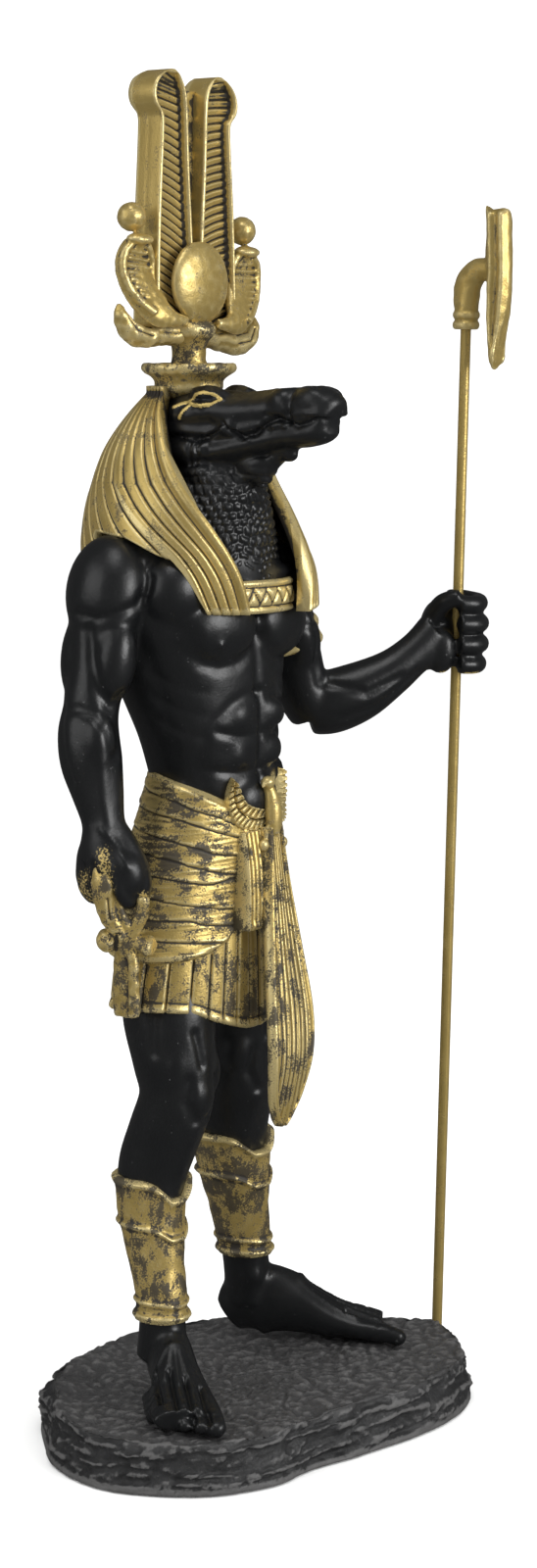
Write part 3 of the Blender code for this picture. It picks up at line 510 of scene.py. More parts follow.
def torso(bm):
    """Waist, chest and shoulders, with their muscles."""
    stack(bm, [(-5.4, 9, 128, 18.4, 13, 5), (-5.4, 9, 132, 18.2, 13.2, 6), (-5.4, 7.5, 142, 16.6, 12.2, 8),
               (-5.4, 6.4, 151, 16, 11.6, 9), (-5, 6.6, 160, 18.4, 12.4, 9), (-5.4, 8, 171, 21, 13.6, 8),
               (-5.5, 9, 181, 24.4, 14.4, 8), (-5.5, 10.4, 190, 25, 13.2, 6), (-6, 12.4, 197, 23, 11.5, 4),
               (-6.6, 13.6, 203, 18, 11, 0), (-7.4, 13, 212, 11, 10, 0)])
    stack(bm, [(-5.8, 9, 187, 17, 17.2, 4), (-6.5, 9, 196, 16.6, 16.4, 2), (-7.5, 9, 203, 15, 14.6, 0)])
    pair(bm, (-15.4, -1.2, 181.4), (11.6, 6.4, 8.6), (10, 0, -14), middle=-5.4)
    for side in (-1, 1):
        limb(bm, [(-5.5 + side * 20.6, 13, 190, 6, 8), (-5.5 + side * 20, 12.6, 181, 5.6, 8.2),
                  (-5.4 + side * 17.6, 11, 170, 4.8, 7.8), (-5.4 + side * 14.6, 9, 159, 4, 7),
                  (-5.4 + side * 12.6, 8, 149, 3.4, 6.4)])
    pair(bm, (-22, 3, 190), (9, 7.4, 9), (0, -10, 0), middle=-5.8)
    pair(bm, (-14.5, 20, 184), (9.5, 4.6, 11), (0, 12, 0), middle=-5.5)
    pair(bm, (-9.6, 16.6, 160), (5.2, 3.8, 15), middle=-5)
    pair(bm, (-17.4, 4.4, 147), (3.8, 6, 5.4), (0, -8, 0), middle=-4.5)
    for row, z in enumerate((162.6, 154.4)):
        pair(bm, (-9.2 + 0.3 * row, -4.4 + 0.7 * row, z), (4.4, 2.2, 4), (0, 0, 6), middle=-4.6)
    lump(bm, (-4.4, -3, 143.6), (8, 4.6, 6.4), (0, 0, 8))
    pair(bm, (-14, -5, 193.4), (10, 1.9, 1.8), (0, -6, -10), middle=-5.8)
    pair(bm, (-22, 13, 197.5), (11.5, 9.4, 7), (0, -14, 0), middle=-5.8)


def right_arm(bm):
    """The hanging arm, down to a fist round the looped cross."""
    limb(bm, [(-28, 14, 192, 7.5, 8), (-32, 14.5, 185, 7.4, 8.4), (-34.6, 14.4, 175, 6.2, 7.2),
              (-37.1, 14.4, 166, 5.8, 6.4), (-38.5, 14, 160, 6.4, 6.9), (-38.9, 12.8, 154, 6.5, 7),
              (-38.9, 11, 147.5, 5.4, 6), (-39.2, 9.2, 141.5, 4.4, 4.9), (-39.6, 8.5, 138, 4.8, 5.4),
              (-39.4, 8.2, 134.6, 5.5, 7.4), (-39, 7.6, 131.4, 5.8, 8.9), (-38.7, 7, 128, 5.4, 8.6),
              (-38.5, 6.8, 125.4, 4, 6)])
    lump(bm, (-32.4, 14, 190), (8, 9.6, 12.4), (0, 12, 0))
    lump(bm, (-35.4, 9.4, 175.4), (4.9, 5, 9.6), (6, 8, 0))
    lump(bm, (-35.4, 18.4, 176), (4.9, 4.8, 10.5), (0, 8, 0))
    lump(bm, (-40.4, 10.6, 157.5), (4.2, 5.2, 8), (6, 0, 0))
    limb(bm, [(-38.8, 8, 143, 2, 2), (-38.2, 5.6, 138.6, 3, 3), (-37.4, 3.2, 133, 3.6, 3.8),
              (-36.8, 2, 128.4, 3.4, 3.6), (-36.8, 1.8, 125.4, 2.4, 2.8)], sides=18)
    for k in range(4):
        y = 2.6 + 3.3 * k
        limb(bm, [(-41.6, y, 131.5, 1.9, 1.8), (-41.6, y - 0.4, 127.4, 1.8, 1.8),
                  (-39.2, y - 0.6, 124.8, 1.7, 1.8), (-36.8, y, 126.4, 1.7, 1.7)], sides=14)


def left_arm(bm):
    """The bent arm, up to a fist round the staff."""
    limb(bm, [(17, 13.6, 192, 7.5, 8), (22.4, 12.6, 184, 7.4, 8.4), (25.8, 11.4, 174, 6.4, 7.4),
              (28.4, 9.8, 164, 5.9, 6.6), (31, 8, 159, 6, 6.4)])
    limb(bm, [(29.6, 9.2, 159.8, 6, 6.4), (33.5, 5.4, 161, 6.4, 7.4), (38.6, 0.6, 163.6, 5.9, 6.9),
              (44.2, -4.2, 167.8, 4.8, 5.4), (48.8, -7.6, 172.2, 4.1, 4.8), (53, -9.6, 175.2, 4.4, 6)],
         facing=(0, 0, 1))
    lump(bm, (20.8, 12.6, 189), (8, 9.4, 12), (0, -14, 0))
    lump(bm, (24.6, 7.4, 175.4), (4.8, 5, 9), (10, -16, 0))
    lump(bm, (26.4, 15.4, 174), (4.6, 4.6, 9.5), (-6, -16, 0))
    x, y, z = GRIP
    lump(bm, (x - 1.6, y + 4.4, z - 0.5), (4.6, 4.4, 8), (0, 0, 30))
    lump(bm, (x - 4.6, y + 1.4, z - 4), (3, 3.8, 5.4), (0, 0, 20))
    for k in range(4):
        level = z + 7.2 - 4.7 * k
        reach = 5.3 - 0.5 * (k == 3) - 0.3 * (k == 0)
        bend = [(x + 0.3 + reach * wave(a + 90), y + reach * wave(a), level + 0.5 * wave(a), 2.1, 2.1)
                for a in (70, 20, -35, -90, -140)]
        limb(bm, bend, sides=14, facing=(0, 0, 1))
    limb(bm, [(x - 4, y + 4, z + 3, 2.6, 2.6), (x - 5, y + 0.4, z + 7, 2.3, 2.3),
              (x - 3.4, y - 3.6, z + 8.6, 2, 2)], sides=14, facing=(0, 0, 1))


def carve_torso(clay):
    """The soft lines between the muscles of the chest, belly and back."""
    body = clay.zone((-5, 8, 165), 38, 3) * (np.abs(clay.points[:, 0] + 5.4) < 26.5)
    clay.stroke([(-5.8, 0, 188), (-5.6, 0, 178), (-5.2, 0, 168)], 1.5, -0.75, FRONT, body)
    clay.stroke([(-4.6, 0, 167), (-4.3, 0, 158), (-4, 0, 147)], 1.1, -0.6, FRONT, body)
    clay.dab((-3.9, 0, 147.4), 1.1, -1.2, FRONT, body)
    for side in (-1, 1):
        def across(path):
            return [(-5.3 + side * reach, 0, z) for reach, z in path]

        clay.stroke(across([(0.4, 180), (3, 176.4), (7, 174.2), (11.6, 173.5), (15.4, 174.7), (18, 177.4),
                            (20.4, 182)]), 1.5, -0.62, FRONT, body)
        clay.stroke(across([(0.6, 167.4), (4.8, 167), (8.6, 165.2), (12, 162), (13.8, 158.6), (14.2, 154.6),
                            (13.6, 149)]), 1.35, -0.48, FRONT, body)
        clay.stroke(across([(1, 158.4), (6, 158.2), (11, 159.4)]), 1.0, -0.5, FRONT, body)
        clay.stroke(across([(1, 150.4), (6, 150.2), (12, 151)]), 1.0, -0.5, FRONT, body)
        clay.stroke(across([(15.4, 148.6), (11.4, 144), (7, 139.6)]), 1.3, -0.5, FRONT, body)
        clay.dab((-5.3 + side * 13.3, 0, 178.6), 1.3, 0.25, FRONT, body)
        clay.dab((-5.3 + side * 13.3, 0, 178.6), 0.6, 0.5, FRONT, body)
        clay.stroke(across([(2, 191.4), (12, 193.4)]), 0.9, 0.35, FRONT, body)
        clay.stroke(across([(1.2, 192), (1.5, 150)]), 1.6, -0.9, BACK, body)
        clay.stroke(across([(4, 176), (12, 172), (19, 178)]), 1.5, -0.7, BACK, body)
        for k in range(3):
            z = 170.5 - 5 * k
            clay.stroke([(0, -2.4 + 0.5 * k, z - 2), (0, 1.6 + 0.5 * k, z - 0.4), (0, 6 + 0.4 * k, z + 2)],
                        1.1, -0.2, RIGHT_SIDE if side < 0 else LEFT_SIDE, body)


def carve_arms(clay):
    """The soft lines of the arms and fists, and the gold that ran onto them."""
    right = clay.points[:, 0] < -28
    clay.stroke([(-34.2, 0.3, 194), (-34.5, 0.6, 191.4), (-35.8, 2.2, 188), (-38.5, 5.4, 186.2),
                 (-41.5, 9, 185.2), (-44, 12, 186.4)], 1.1, -0.8, ASIDE, right)
    clay.stroke([(-42.4, 10.1, 183), (-42, 9.6, 176), (-41, 8.4, 170), (-39.6, 6.8, 166.4),
                 (-37.8, 4.6, 169)], 1.3, -0.7, ASIDE, right)
    clay.stroke([(-46, 13, 166), (-44.6, 11.2, 166), (-42.5, 8.6, 164.6), (-40.6, 6.4, 161.5),
                 (-39.6, 5.2, 156)], 1.2, -0.55, ASIDE, right)
    clay.stroke([(-40.4, 8.4, 154), (-40.2, 8.2, 146), (-39.6, 7.4, 140)], 1.6, 0.5, ASIDE, right)
    clay.stroke([(0, 18, 166), (0, 16, 158), (0, 13.4, 150)], 1.3, -0.5, RIGHT_SIDE, right)
    for y, z in ((3.2, 124), (6.4, 123.6), (9.6, 124)):
        clay.stroke([(0, y + 0.6, 133), (0, y, 129), (0, y, z)], 0.5, -0.6, RIGHT_SIDE, right)
    clay.stroke([(-40.4, 8.4, 140), (-38.2, 5.8, 136.5), (-37.2, 3.8, 132)], 0.8, 0.4, ASIDE, right)
    clay.gild([(-43, 11, 130), (-42.9, 12.1, 127), (-41.4, 10.4, 125)], 3.9, ASIDE, 0.44, right)
    clay.gild([(-41, 7.4, 135), (-40.6, 6.6, 128)], 3.9, ASIDE, 0.5, right)
    clay.gild([(-37.2, -0.8, 126), (-37.5, -0.5, 123)], 2.8, ASIDE, 0.6, right)
    left = clay.points[:, 0] > 18
    for path in ([(18, 0, 180.5), (24, 0, 179), (27.6, 0, 184)], [(24.6, 0, 177), (27, 0, 166)],
                 [(29, 0, 166), (35, 0, 163.6), (42, 0, 167)], [(31, 0, 158), (38, 0, 160.4), (46, 0, 168)]):
        clay.stroke(path, 1.1, -0.5, FRONT, left)
    clay.gild([(52, 0, 166.6), (58, 0, 166.4)], 1.7, FRONT, 1.4, left * (clay.points[:, 2] < 168.6))


def make_body(finish):
    """Torso and arms, one skin, softened and then carved."""
    def forms(bm):
        torso(bm)
        right_arm(bm)
        left_arm(bm)

    piece = draft("torso_and_arms", forms)
    one_skin(piece, BODY_GRAIN)
    clay = Clay(piece)
    hands = np.maximum(clay.zone((-39.5, 6, 129), 9, 4), clay.zone(GRIP, 9, 4))
    clay.soften(12, 1 - 0.8 * hands)
    carve_torso(clay)
    carve_arms(clay)
    clay.feel()
    clay.soften(2, 0.6)
    clay.finish(8, 0.25)
    thin(piece)
    wear(piece, finish, "painted_resin", "figure")


def legs(bm):
    """Both legs below the kilt."""
    limb(bm, [(-17, 9.4, 112, 8, 9), (-18.6, 8.6, 104, 9, 10), (-20.4, 7.4, 97, 9.8, 10.8),
              (-21.2, 5.2, 87, 8.9, 9.6), (-21.3, 4.4, 79, 8, 8.6), (-22.2, 7.4, 70, 7.8, 8.4),
              (-23.3, 9.8, 62, 7.4, 8.2), (-24.5, 9.4, 53, 6.4, 7.2), (-25.3, 7.4, 44, 5.4, 6.2),
              (-26, 5, 35, 4.7, 5.3), (-26.2, 4.6, 27, 4.8, 5.6), (-26.4, 5, 20, 4.8, 6)])
    limb(bm, [(6.6, 10, 112, 7, 7), (7.2, 10.4, 104, 8, 8), (8.4, 11.6, 97, 9, 8.6),
              (10.2, 14.6, 87, 9, 9.8), (10.8, 15, 78, 8.8, 9.4), (12, 17, 69, 8.6, 9.2),
              (13.3, 18.4, 61, 7.8, 8.5), (14.6, 18.8, 52, 6.6, 7.3), (16.4, 18.8, 44, 6.1, 6.9),
              (18, 18.6, 35, 5.3, 5.9), (19, 18.6, 27, 5, 5.6), (19, 18.8, 20, 4.6, 5.4)])
    lump(bm, (-21.6, -1.8, 80), (4.6, 3.4, 5.4))
    lump(bm, (-16.5, 1.6, 85), (4.2, 4.6, 7), (0, -10, 0))
    lump(bm, (-25, 1.4, 87), (4.2, 4.4, 8), (0, 8, 0))
    lump(bm, (10.8, 9, 79), (4.6, 3.4, 5.4))
    lump(bm, (6, 10.4, 85), (4.2, 4.6, 7), (0, 10, 0))
    lump(bm, (14.4, 10.6, 87), (4.2, 4.6, 8), (0, -8, 0))


def foot_spots(heel, toe_side):
    """A way to name places on a foot by how far along, aside and up they are."""
    length = math.hypot(*toe_side)
    ahead = (toe_side[0] / length, toe_side[1] / length)
    inner = 1 if ahead[0] < 0 else -1
    across = (-ahead[1] * inner, ahead[0] * inner)
    step = length / 38

    def spot(along, aside, z):
        return (heel[0] + ahead[0] * along * step + across[0] * aside,
                heel[1] + ahead[1] * along * step + across[1] * aside, GROUND + z)

    return spot


def toe(k):
    """A toe's place across the foot, its tip and how fat it is, from the big toe on."""
    return 5.7 - 3.1 * k, 38 - 0.8 * k * (k > 0) - 0.35 * k * k, 2.3 if k == 0 else 1.75 - 0.08 * k


def foot(bm, spot):
    """A bare foot with five toes."""
    rows = [(1, 0, 4.2, 3.6, 4.4), (5, 0, 7.4, 4.8, 8), (10, 0, 8.2, 5, 8.4), (16, 0.2, 6.4, 5.5, 6.2),
            (23, 0.3, 4.1, 6.8, 4.4), (29, 0.2, 3, 7.7, 3.4), (33, 0.2, 2.3, 7.4, 2.7)]
    limb(bm, [spot(*row[:3]) + row[3:] for row in rows], facing=(0, 0, 1))
    for k in range(5):
        aside, tip, fat = toe(k)
        limb(bm, [spot(tip - 11, aside * 0.95, 3.2) + (fat, fat), spot(tip - 4, aside, 2.2) + (fat, fat),
                  spot(tip - 0.6, aside, 1.2) + (fat * 0.85, fat * 0.8)], sides=14, facing=(0, 0, 1))
        lump(bm, spot(tip - 1.6, aside, 1.4), (fat * 0.98, fat * 1.02, fat * 0.95))


# Each foot's heel, and the way to its toes
RIGHT_FOOT = ((-20.4, 9.4), (-23.4, -28.6))
LEFT_FOOT = ((16.6, 23.6), (25, -34.6))


def carve_foot(clay, spot):
    """Tendons, toe joints and nails."""
    for k in range(5):
        aside, tip, fat = toe(k)
        clay.stroke([spot(16, aside * 0.3, 0), spot(tip - 10, aside * 0.95, 0)], 0.6, 0.42, DOWNWARD)
        clay.stroke([spot(tip - 1.6, aside, 0), spot(tip - 0.2, aside, 0)], fat * 0.42, -0.22, DOWNWARD)
        ring = [spot(tip - 2.6, aside + fat * 0.55 * s, 0) for s in (-1, 0, 1)]
        clay.stroke(ring, 0.28, -0.3, DOWNWARD)
        clay.stroke([spot(tip - 5.4, aside - fat * 0.6, 0), spot(tip - 5.4, aside + fat * 0.6, 0)],
                    0.3, -0.22, DOWNWARD)
        if k:
            beside = aside + 1.55
            clay.stroke([spot(tip - 11, beside, 0), spot(tip, beside, 0)], 0.5, -1.3, DOWNWARD)


def make_legs(finish):
    """Legs and feet, one skin, softened and then carved."""
    right, left = foot_spots(*RIGHT_FOOT), foot_spots(*LEFT_FOOT)

    def forms(bm):
        legs(bm)
        foot(bm, right)
        foot(bm, left)

    piece = draft("legs_and_feet", forms)
    one_skin(piece, BODY_GRAIN)
    clay = Clay(piece)
    clay.soften(12, np.clip((clay.points[:, 2] - 12) / 16, 0.12, 1))
    for x in (-21.5, 10.6):
        for path in ([(x - 4, 0, 84), (x - 4.6, 0, 79), (x - 2, 0, 74.4), (x + 2, 0, 74.4), (x + 4.6, 0, 79),
                      (x + 4, 0, 84)], [(x - 2.2, 0, 94), (x - 1, 0, 87)], [(x + 5, 0, 104), (x + 6, 0, 92)]):
            clay.stroke(path, 1.0, -0.6, FRONT)
        clay.stroke([(x - 1, 0, 73), (x - 2, 0, 63)], 1.6, 0.35, FRONT)
    clay.stroke([(0, 4, 104), (0, 3.4, 90)], 1.2, -0.5, RIGHT_SIDE)
    carve_foot(clay, right)
    carve_foot(clay, left)
    for x, y in ((-21.2, 9), (21.6, 14)):
        clay.dab((x, y, 27), 2.2, 0.7, LEFT_SIDE if x < 0 else RIGHT_SIDE)
    clay.feel()
    clay.soften(2, 0.5)
    clay.finish(8, 0.25)
    thin(piece)
    wear(piece, finish, "painted_resin", "figure")


def head(bm):
    """The crocodile's head: skull, long jaws, brow ridges, nostril bumps and jaw bulges."""
    lump(bm, (MIDDLE, 7, 225), (9.6, 11, 8))
    limb(bm, [(MIDDLE, 8, 226.4, 10, 6.6), (MIDDLE, 0, 228, 9, 4.8), (MIDDLE, -8, 228.2, 7, 4.3),
              (MIDDLE, -14, 228.8, 5.6, 4.3), (MIDDLE, -19, 229.2, 5.3, 4.6), (MIDDLE, -23, 229.2, 5.2, 4.8),
              (MIDDLE, -26.4, 229, 5, 4.7), (MIDDLE, -28.8, 228.4, 4.4, 4.1), (MIDDLE, -30, 227.8, 2.6, 2.6)],
         facing=(0, 0, 1))
    limb(bm, [(MIDDLE, 9, 219.6, 9.2, 5.2), (MIDDLE, 1, 219.6, 8.4, 4), (MIDDLE, -8, 221.4, 6.6, 3),
              (MIDDLE, -15, 222.9, 5.1, 2.6), (MIDDLE, -22, 223.8, 4.9, 2.9),
              (MIDDLE, -26.4, 224.6, 4.4, 2.7), (MIDDLE, -28.6, 225.4, 2.8, 1.8)], facing=(0, 0, 1))
    limb(bm, [(MIDDLE, 10, 223, 9.4, 4), (MIDDLE, 2, 223.6, 8.5, 3.6), (MIDDLE, -8, 224.8, 6.6, 3.4),
              (MIDDLE, -15, 226, 5.2, 3), (MIDDLE, -22, 226.6, 4.9, 2.8), (MIDDLE, -27, 226.8, 4.2, 2.4),
              (MIDDLE, -29, 226.8, 2.4, 1.6)], facing=(0, 0, 1))
    lump(bm, (MIDDLE, -25.6, 231.2), (4.6, 3, 2.9))
    lump(bm, (MIDDLE, -7.6, 216.4), (4, 5.4, 4))
    pair(bm, (MIDDLE - 5, 0.6, 231.6), (2.8, 5.4, 2.2), (8, 0, 14))
    pair(bm, (MIDDLE - 3, -17.6, 230.6), (2.8, 3.2, 3))
    pair(bm, (MIDDLE - 2.6, -25, 230.8), (2.9, 4.2, 3.2))
    pair(bm, (MIDDLE - 7, 4.6, 219.8), (4.2, 5.6, 3.4))
    pair(bm, (MIDDLE - 6.6, 2.4, 215.2), (4.2, 4.6, 2.9), (14, 0, 0))
    pair(bm, (MIDDLE - 5.6, -5.4, 225), (2.4, 2.4, 2.2))
    lump(bm, (MIDDLE, -17, 219.4), (1.9, 2.2, 1.8))
    limb(bm, [(MIDDLE, -18, 221, 1.6, 1.6), (MIDDLE, -13, 218, 2, 1.8), (MIDDLE, -8.6, 212.6, 2.2, 1.8)],
         sides=14)
    stack(bm, [(-5.8, 9, 187, 17, 17.2, 4), (-6.5, 9, 196, 16.6, 16.6, 2), (-7.5, 9, 205, 15.8, 16.2, 0),
               (-8.2, 8, 212, 12, 15.6, 0), (-8.5, 7.4, 217, 9, 12.6, 0), (-8.5, 7, 222, 8, 10, 0)])


# The lines of the mouth and the eye, as seen from the side
MOUTH = [(0, 14, 222.8), (0, 8, 223), (0, 3.4, 222.9), (0, -0.5, 222.6), (0, -2.6, 223.8), (0, -4.7, 225.8),
         (0, -6.6, 224.2), (0, -9, 223), (0, -12, 223.8), (0, -15, 226), (0, -17.5, 226.9), (0, -20.5, 226.2),
         (0, -23, 225.6), (0, -25.5, 226.2), (0, -28, 227), (0, -31, 227)]
EYE = [(0, -3.7, 230.9), (0, -2, 231.9), (0, 0.4, 232.4), (0, 2.4, 231.8), (0, 3.8, 230.4), (0, 2.6, 229.7),
       (0, 0.4, 229.4), (0, -2, 229.9), (0, -3.7, 230.9)]
EYE_TAILS = ([(0, 3.8, 230.3), (0, 6, 229.9), (0, 8, 229.1)],
             [(0, 3.2, 229.9), (0, 4.8, 228.4), (0, 5.8, 226.8)])


# How many millimetres round the throat a degree is
THROAT_DEGREE = 0.28


def scale_rows(clay, where, wide, tall, depth):
    """Presses rows of uneven scales into a zone, each row set half a scale on."""
    x, y, z = (clay.points - (MIDDLE, 9, 0)).T
    drift = np.array([noise.noise(Vector(p) * 0.22) for p in clay.points])
    row = (z + 1.5 * drift) / tall
    turn = np.degrees(np.arctan2(-x, -y)) * THROAT_DEGREE / wide
    along = turn + 0.5 * (np.floor(row) % 2) + 0.5 * drift
    across = np.minimum(row % 1, 1 - row % 1) * tall
    beside = np.minimum(along % 1, 1 - along % 1) * wide
    edge = np.exp(-(np.minimum(across, beside) / 0.34) ** 2)
    clay.points += clay.out * ((0.12 - edge) * depth * where)[:, None]


def make_head(finish):
    """Head and neck, one skin, carved with mouth, eyes, teeth, wrinkles and scales."""
    piece = draft("crocodile_head", head)
    one_skin(piece, HEAD_GRAIN)
    clay = Clay(piece)
    clay.soften(14)
    for look in (RIGHT_SIDE, LEFT_SIDE):
        clay.stroke(MOUTH[:12], 0.55, -1.1, look)
        clay.stroke(MOUTH[11:], 0.5, -0.7, look)
        clay.stroke([(0, y, z + 1.5) for _, y, z in MOUTH[9:]], 0.9, 0.22, look)
        clay.dab((0, -4.7, 225), 0.9, 0.9, look)
        for y, z in ((-10.4, 222.9), (-16.4, 225.4), (-19.4, 225.4)):
            clay.dab((0, y, z), 0.6, 0.45, look)
        for y, z in ((-8, 224.4), (-13.2, 225.4)):
            clay.dab((0, y, z), 0.5, 0.35, look)
        clay.stroke([(0, 1.0, 222.4), (0, 0.6, 219), (0, 1.4, 217)], 0.45, -0.6, look)
        clay.stroke([(0, 2.4, 222.2), (0, 2.0, 219), (0, 2.6, 217)], 0.45, -0.5, look)
        clay.stroke([(0, 9.6, 217.6), (0, 5, 216.8), (0, 0, 217.6)], 0.8, -0.5, look)
        clay.stroke([(0, -1, 226.4), (0, 4, 225.6), (0, 10, 226)], 1.3, -0.4, look)
        clay.stroke([(0, -20.8, 233), (0, -21, 226.8)], 0.9, -0.6, look)
        clay.stroke([(0, -14.8, 227.6), (0, -18, 227.2), (0, -20.6, 228)], 0.7, -0.5, look)
        clay.stroke([(0, -21.4, 228), (0, -25, 228.4), (0, -29.4, 228)], 0.5, 0.28, look)
        clay.stroke(EYE, 0.42, 0.5, look)
        for tail in EYE_TAILS:
            clay.stroke(tail, 0.42, 0.4, look)
            clay.gild(tail, 0.46, look)
        clay.gild(EYE, 0.44, look)
        clay.dab((0, 0.6, 230.8), 1.4, 0.55, look)
        clay.stroke([(0, -1.2, 230.9), (0, 2.2, 230.9)], 0.35, -0.4, look)
        clay.feel()
    for side in (-1, 1):
        clay.dab((MIDDLE + side * 2.4, -26.4, 240), 0.7, -0.8, DOWNWARD)
        clay.stroke([(MIDDLE + side * 2.8, -8, 0), (MIDDLE + side * 2.2, -15, 0)], 1.0, 0.45, DOWNWARD)
        clay.stroke([(MIDDLE + side * 3.2, -5, 0), (MIDDLE + side * 1.6, 3, 0)], 0.9, -0.5, DOWNWARD)
    clay.stroke([(MIDDLE, -6, 0), (MIDDLE, -20, 0)], 0.9, -0.45, DOWNWARD)
    clay.feel()
    z, y = clay.points[:, 2], clay.points[:, 1]
    throat = np.clip((217 - z) / 3, 0, 1) * np.clip((6 - y) / 4, 0, 1)
    scale_rows(clay, throat, 2.3, 1.9, 0.5)
    brow = clay.zone((MIDDLE, -2, 234), 9, 3) * np.clip(clay.out[:, 2] * 2 - 0.8, 0, 1)
    clay.dent(0.06 + 0.16 * brow, 0.6)
    clay.finish(7, 0.22)
    thin(piece)
    wear(piece, finish, "painted_resin", "figure")


def wear(piece, finish, slot, *nodes):
    """Gives a piece its finish and its place on the statuette."""
    piece.data.materials.clear()
    piece.data.materials.append(finish)
    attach(piece, "root")
    if nodes:
        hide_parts(*nodes)


def sheet(bm, outer, inner, hooped=False):
    """A closed body between the points of an outer face and an inner one, column by column."""
    skin(bm, [column + behind[::-1] for column, behind in zip(outer, inner)], hooped)


def mould(name, draw, finish, work=None, rub=(6, 0.12), dense=False):
    """One ornament: drawn, worked where asked, finished, and thinned if it is dense."""
    piece = draft(name, draw)
    clay = Clay(piece)
    if work:
        work(clay)
    clay.finish(*rub)
    if dense:
        thin(piece)
    wear(piece, finish, "painted_resin", "figure")


# The stone's own outline at the ground, anticlockwise from the rod's side
STONE = [(52.8, -14.8), (56, -7.2), (50.5, 1.5), (41, 14), (31.4, 26.4), (17.4, 34.6), (0.5, 39), (-15, 37),
         (-28.4, 34), (-41, 22), (-49.2, 11), (-52, -2), (-48.4, -13), (-40, -23.2), (-27.2, -28.6),
         (-15.4, -28), (3, -31), (20, -32.6), (34.2, -30), (44.6, -23.8)]
STONE_MARGIN = 3.8
STONE_SIDE = [(0, 1.0), (3.6, 1.0), (8.2, 0.985), (11.8, 0.955)]
STONE_ROUGH = [(0, 0), (3.6, 1.4), (8.2, 2.0), (11.8, 1.6)]
# noise_vector starts from the clock unless it is seeded, so the chips would differ each run
STONE_SEED = 4


def stone_point(x, y, share, level):
    """A point of the stone, at a share of its reach and a level."""
    out = Vector((x, y, 0)).normalized()
    grain = noise.noise(Vector((x, y, level * 2)) * 0.11) * ease(level, STONE_ROUGH)
    return (Vector((x, y, 0)) + out * STONE_MARGIN) * share + out * grain + Vector((0, 0, level))


def rock(bm):
    """The rough stone under the feet, flat underneath."""
    outline = flowing(STONE + STONE[:1], 22)[:-1]
    rings = [[stone_point(x, y, 0.6, 0) * MM for x, y in outline]]
    for k in range(27):
        level = 11.8 * k / 26
        rings.append([stone_point(x, y, ease(level, STONE_SIDE), level) * MM for x, y in outline])
    for k in range(1, 96):
        share = 0.955 * (1 - k / 96.5)
        ring = []
        for x, y in outline:
            point = stone_point(x, y, share, 0)
            point.z = GROUND + noise.noise(point * 0.09) * 0.9 - 0.2
            ring.append(point * MM)
        rings.append(ring)
    skin(bm, rings)


def chip_rock(clay):
    """Cracks, ledges and chips all over the stone but its underside."""
    noise.seed_set(STONE_SEED)
    high = np.clip(clay.points[:, 2] / 2.2, 0, 1)
    top = np.clip((clay.points[:, 2] - 10.2) / 1.2, 0, 1)
    relief = []
    for x, y, z in clay.points:
        place = Vector((x, y, z * 2.2))
        ledge = noise.noise(Vector((x * 0.07, y * 0.07, z * 0.75)) + noise.noise_vector(place * 0.05) * 0.8)
        crack = 1 - abs(noise.noise(place * 0.13 + Vector((7, 3, 1)))) * 9
        chip = noise.cell(place * 0.32 + noise.noise_vector(place * 0.2) * 0.5) - 0.5
        rough = noise.turbulence(place * 0.5, 4, False) - 0.5
        relief.append((ledge, max(crack, 0), chip, rough))
    ledge, crack, chip, rough = np.array(relief).T
    side = 1 - top
    lift = side * (ledge * 1.3 + chip * 0.16) + top * (chip * 0.14) - crack * (0.7 * side + 0.5 * top)
    # The flat top goes into the gilt layer; the rock's paint makes it lighter there as painted light from
    # above.
    clay.gilt = top
    clay.points += clay.out * ((lift + rough * 0.5 - 0.35) * high)[:, None]
    clay.feel()
    clay.soften(1, 0.6)


# The head cloth: its radius at each level, where it opens for the face in degrees from
# the front, and how much of the way round its lappets take up
CLOTH_RADIUS = [(185, 23.2), (192, 24), (199, 24.2), (203, 23.8), (208, 22.8), (212, 21.6), (216, 20.2),
                (220, 18.4), (224, 15.8), (228, 12.6), (232, 8.8)]
CLOTH_OPENING = [(185, 17), (194, 24), (203, 36), (209, 46), (215, 56), (224, 69), (232, 84)]
CLOTH_LEFT_FLARE = [(185, 4), (194, 2.4), (203, -0.8), (212, -2.2), (222, -1), (230, 0)]
CLOTH_LAPPET = [(185, 0.147), (197.7, 0.187), (205, 0.262), (213, 0.333)]
CLOTH_EDGE = [(0, 185), (0.33, 185.3), (0.352, 197.2), (0.45, 201.6), (0.55, 202.3), (0.66, 195), (1, 191)]
CLOTH_TOP = 233.5
CLOTH_BANDS = 27
CLOTH_THICK = 3.2


def cloth_point(along, down, proud):
    """A point of the head cloth: along from its right front edge round to its left, and down."""
    half = min(along, 1 - along) * 2
    lower = ease(half, CLOTH_EDGE)
    z = CLOTH_TOP - (CLOTH_TOP - lower) * down
    lappet, opening = curve(z, CLOTH_LAPPET), curve(z, CLOTH_OPENING)
    turn = 3 * half * lappet if half < 1 / 3 else lappet + (half - 1 / 3) * 1.5 * (1 - lappet)
    a = opening + (180 - opening) * turn
    side = 1 if along < 0.5 else -1
    middle = MIDDLE + (CLOTH_TOP - z) / 48.5 * 2.4
    flare = curve(z, CLOTH_LEFT_FLARE) * ease(along, [(0.55, 0), (0.9, 1)])
    radius = curve(z, CLOTH_RADIUS) + flare + proud
    return at(middle - side * radius * (1 + 0.03 * down) * wave(a), 12 - radius * wave(a + 90), z)


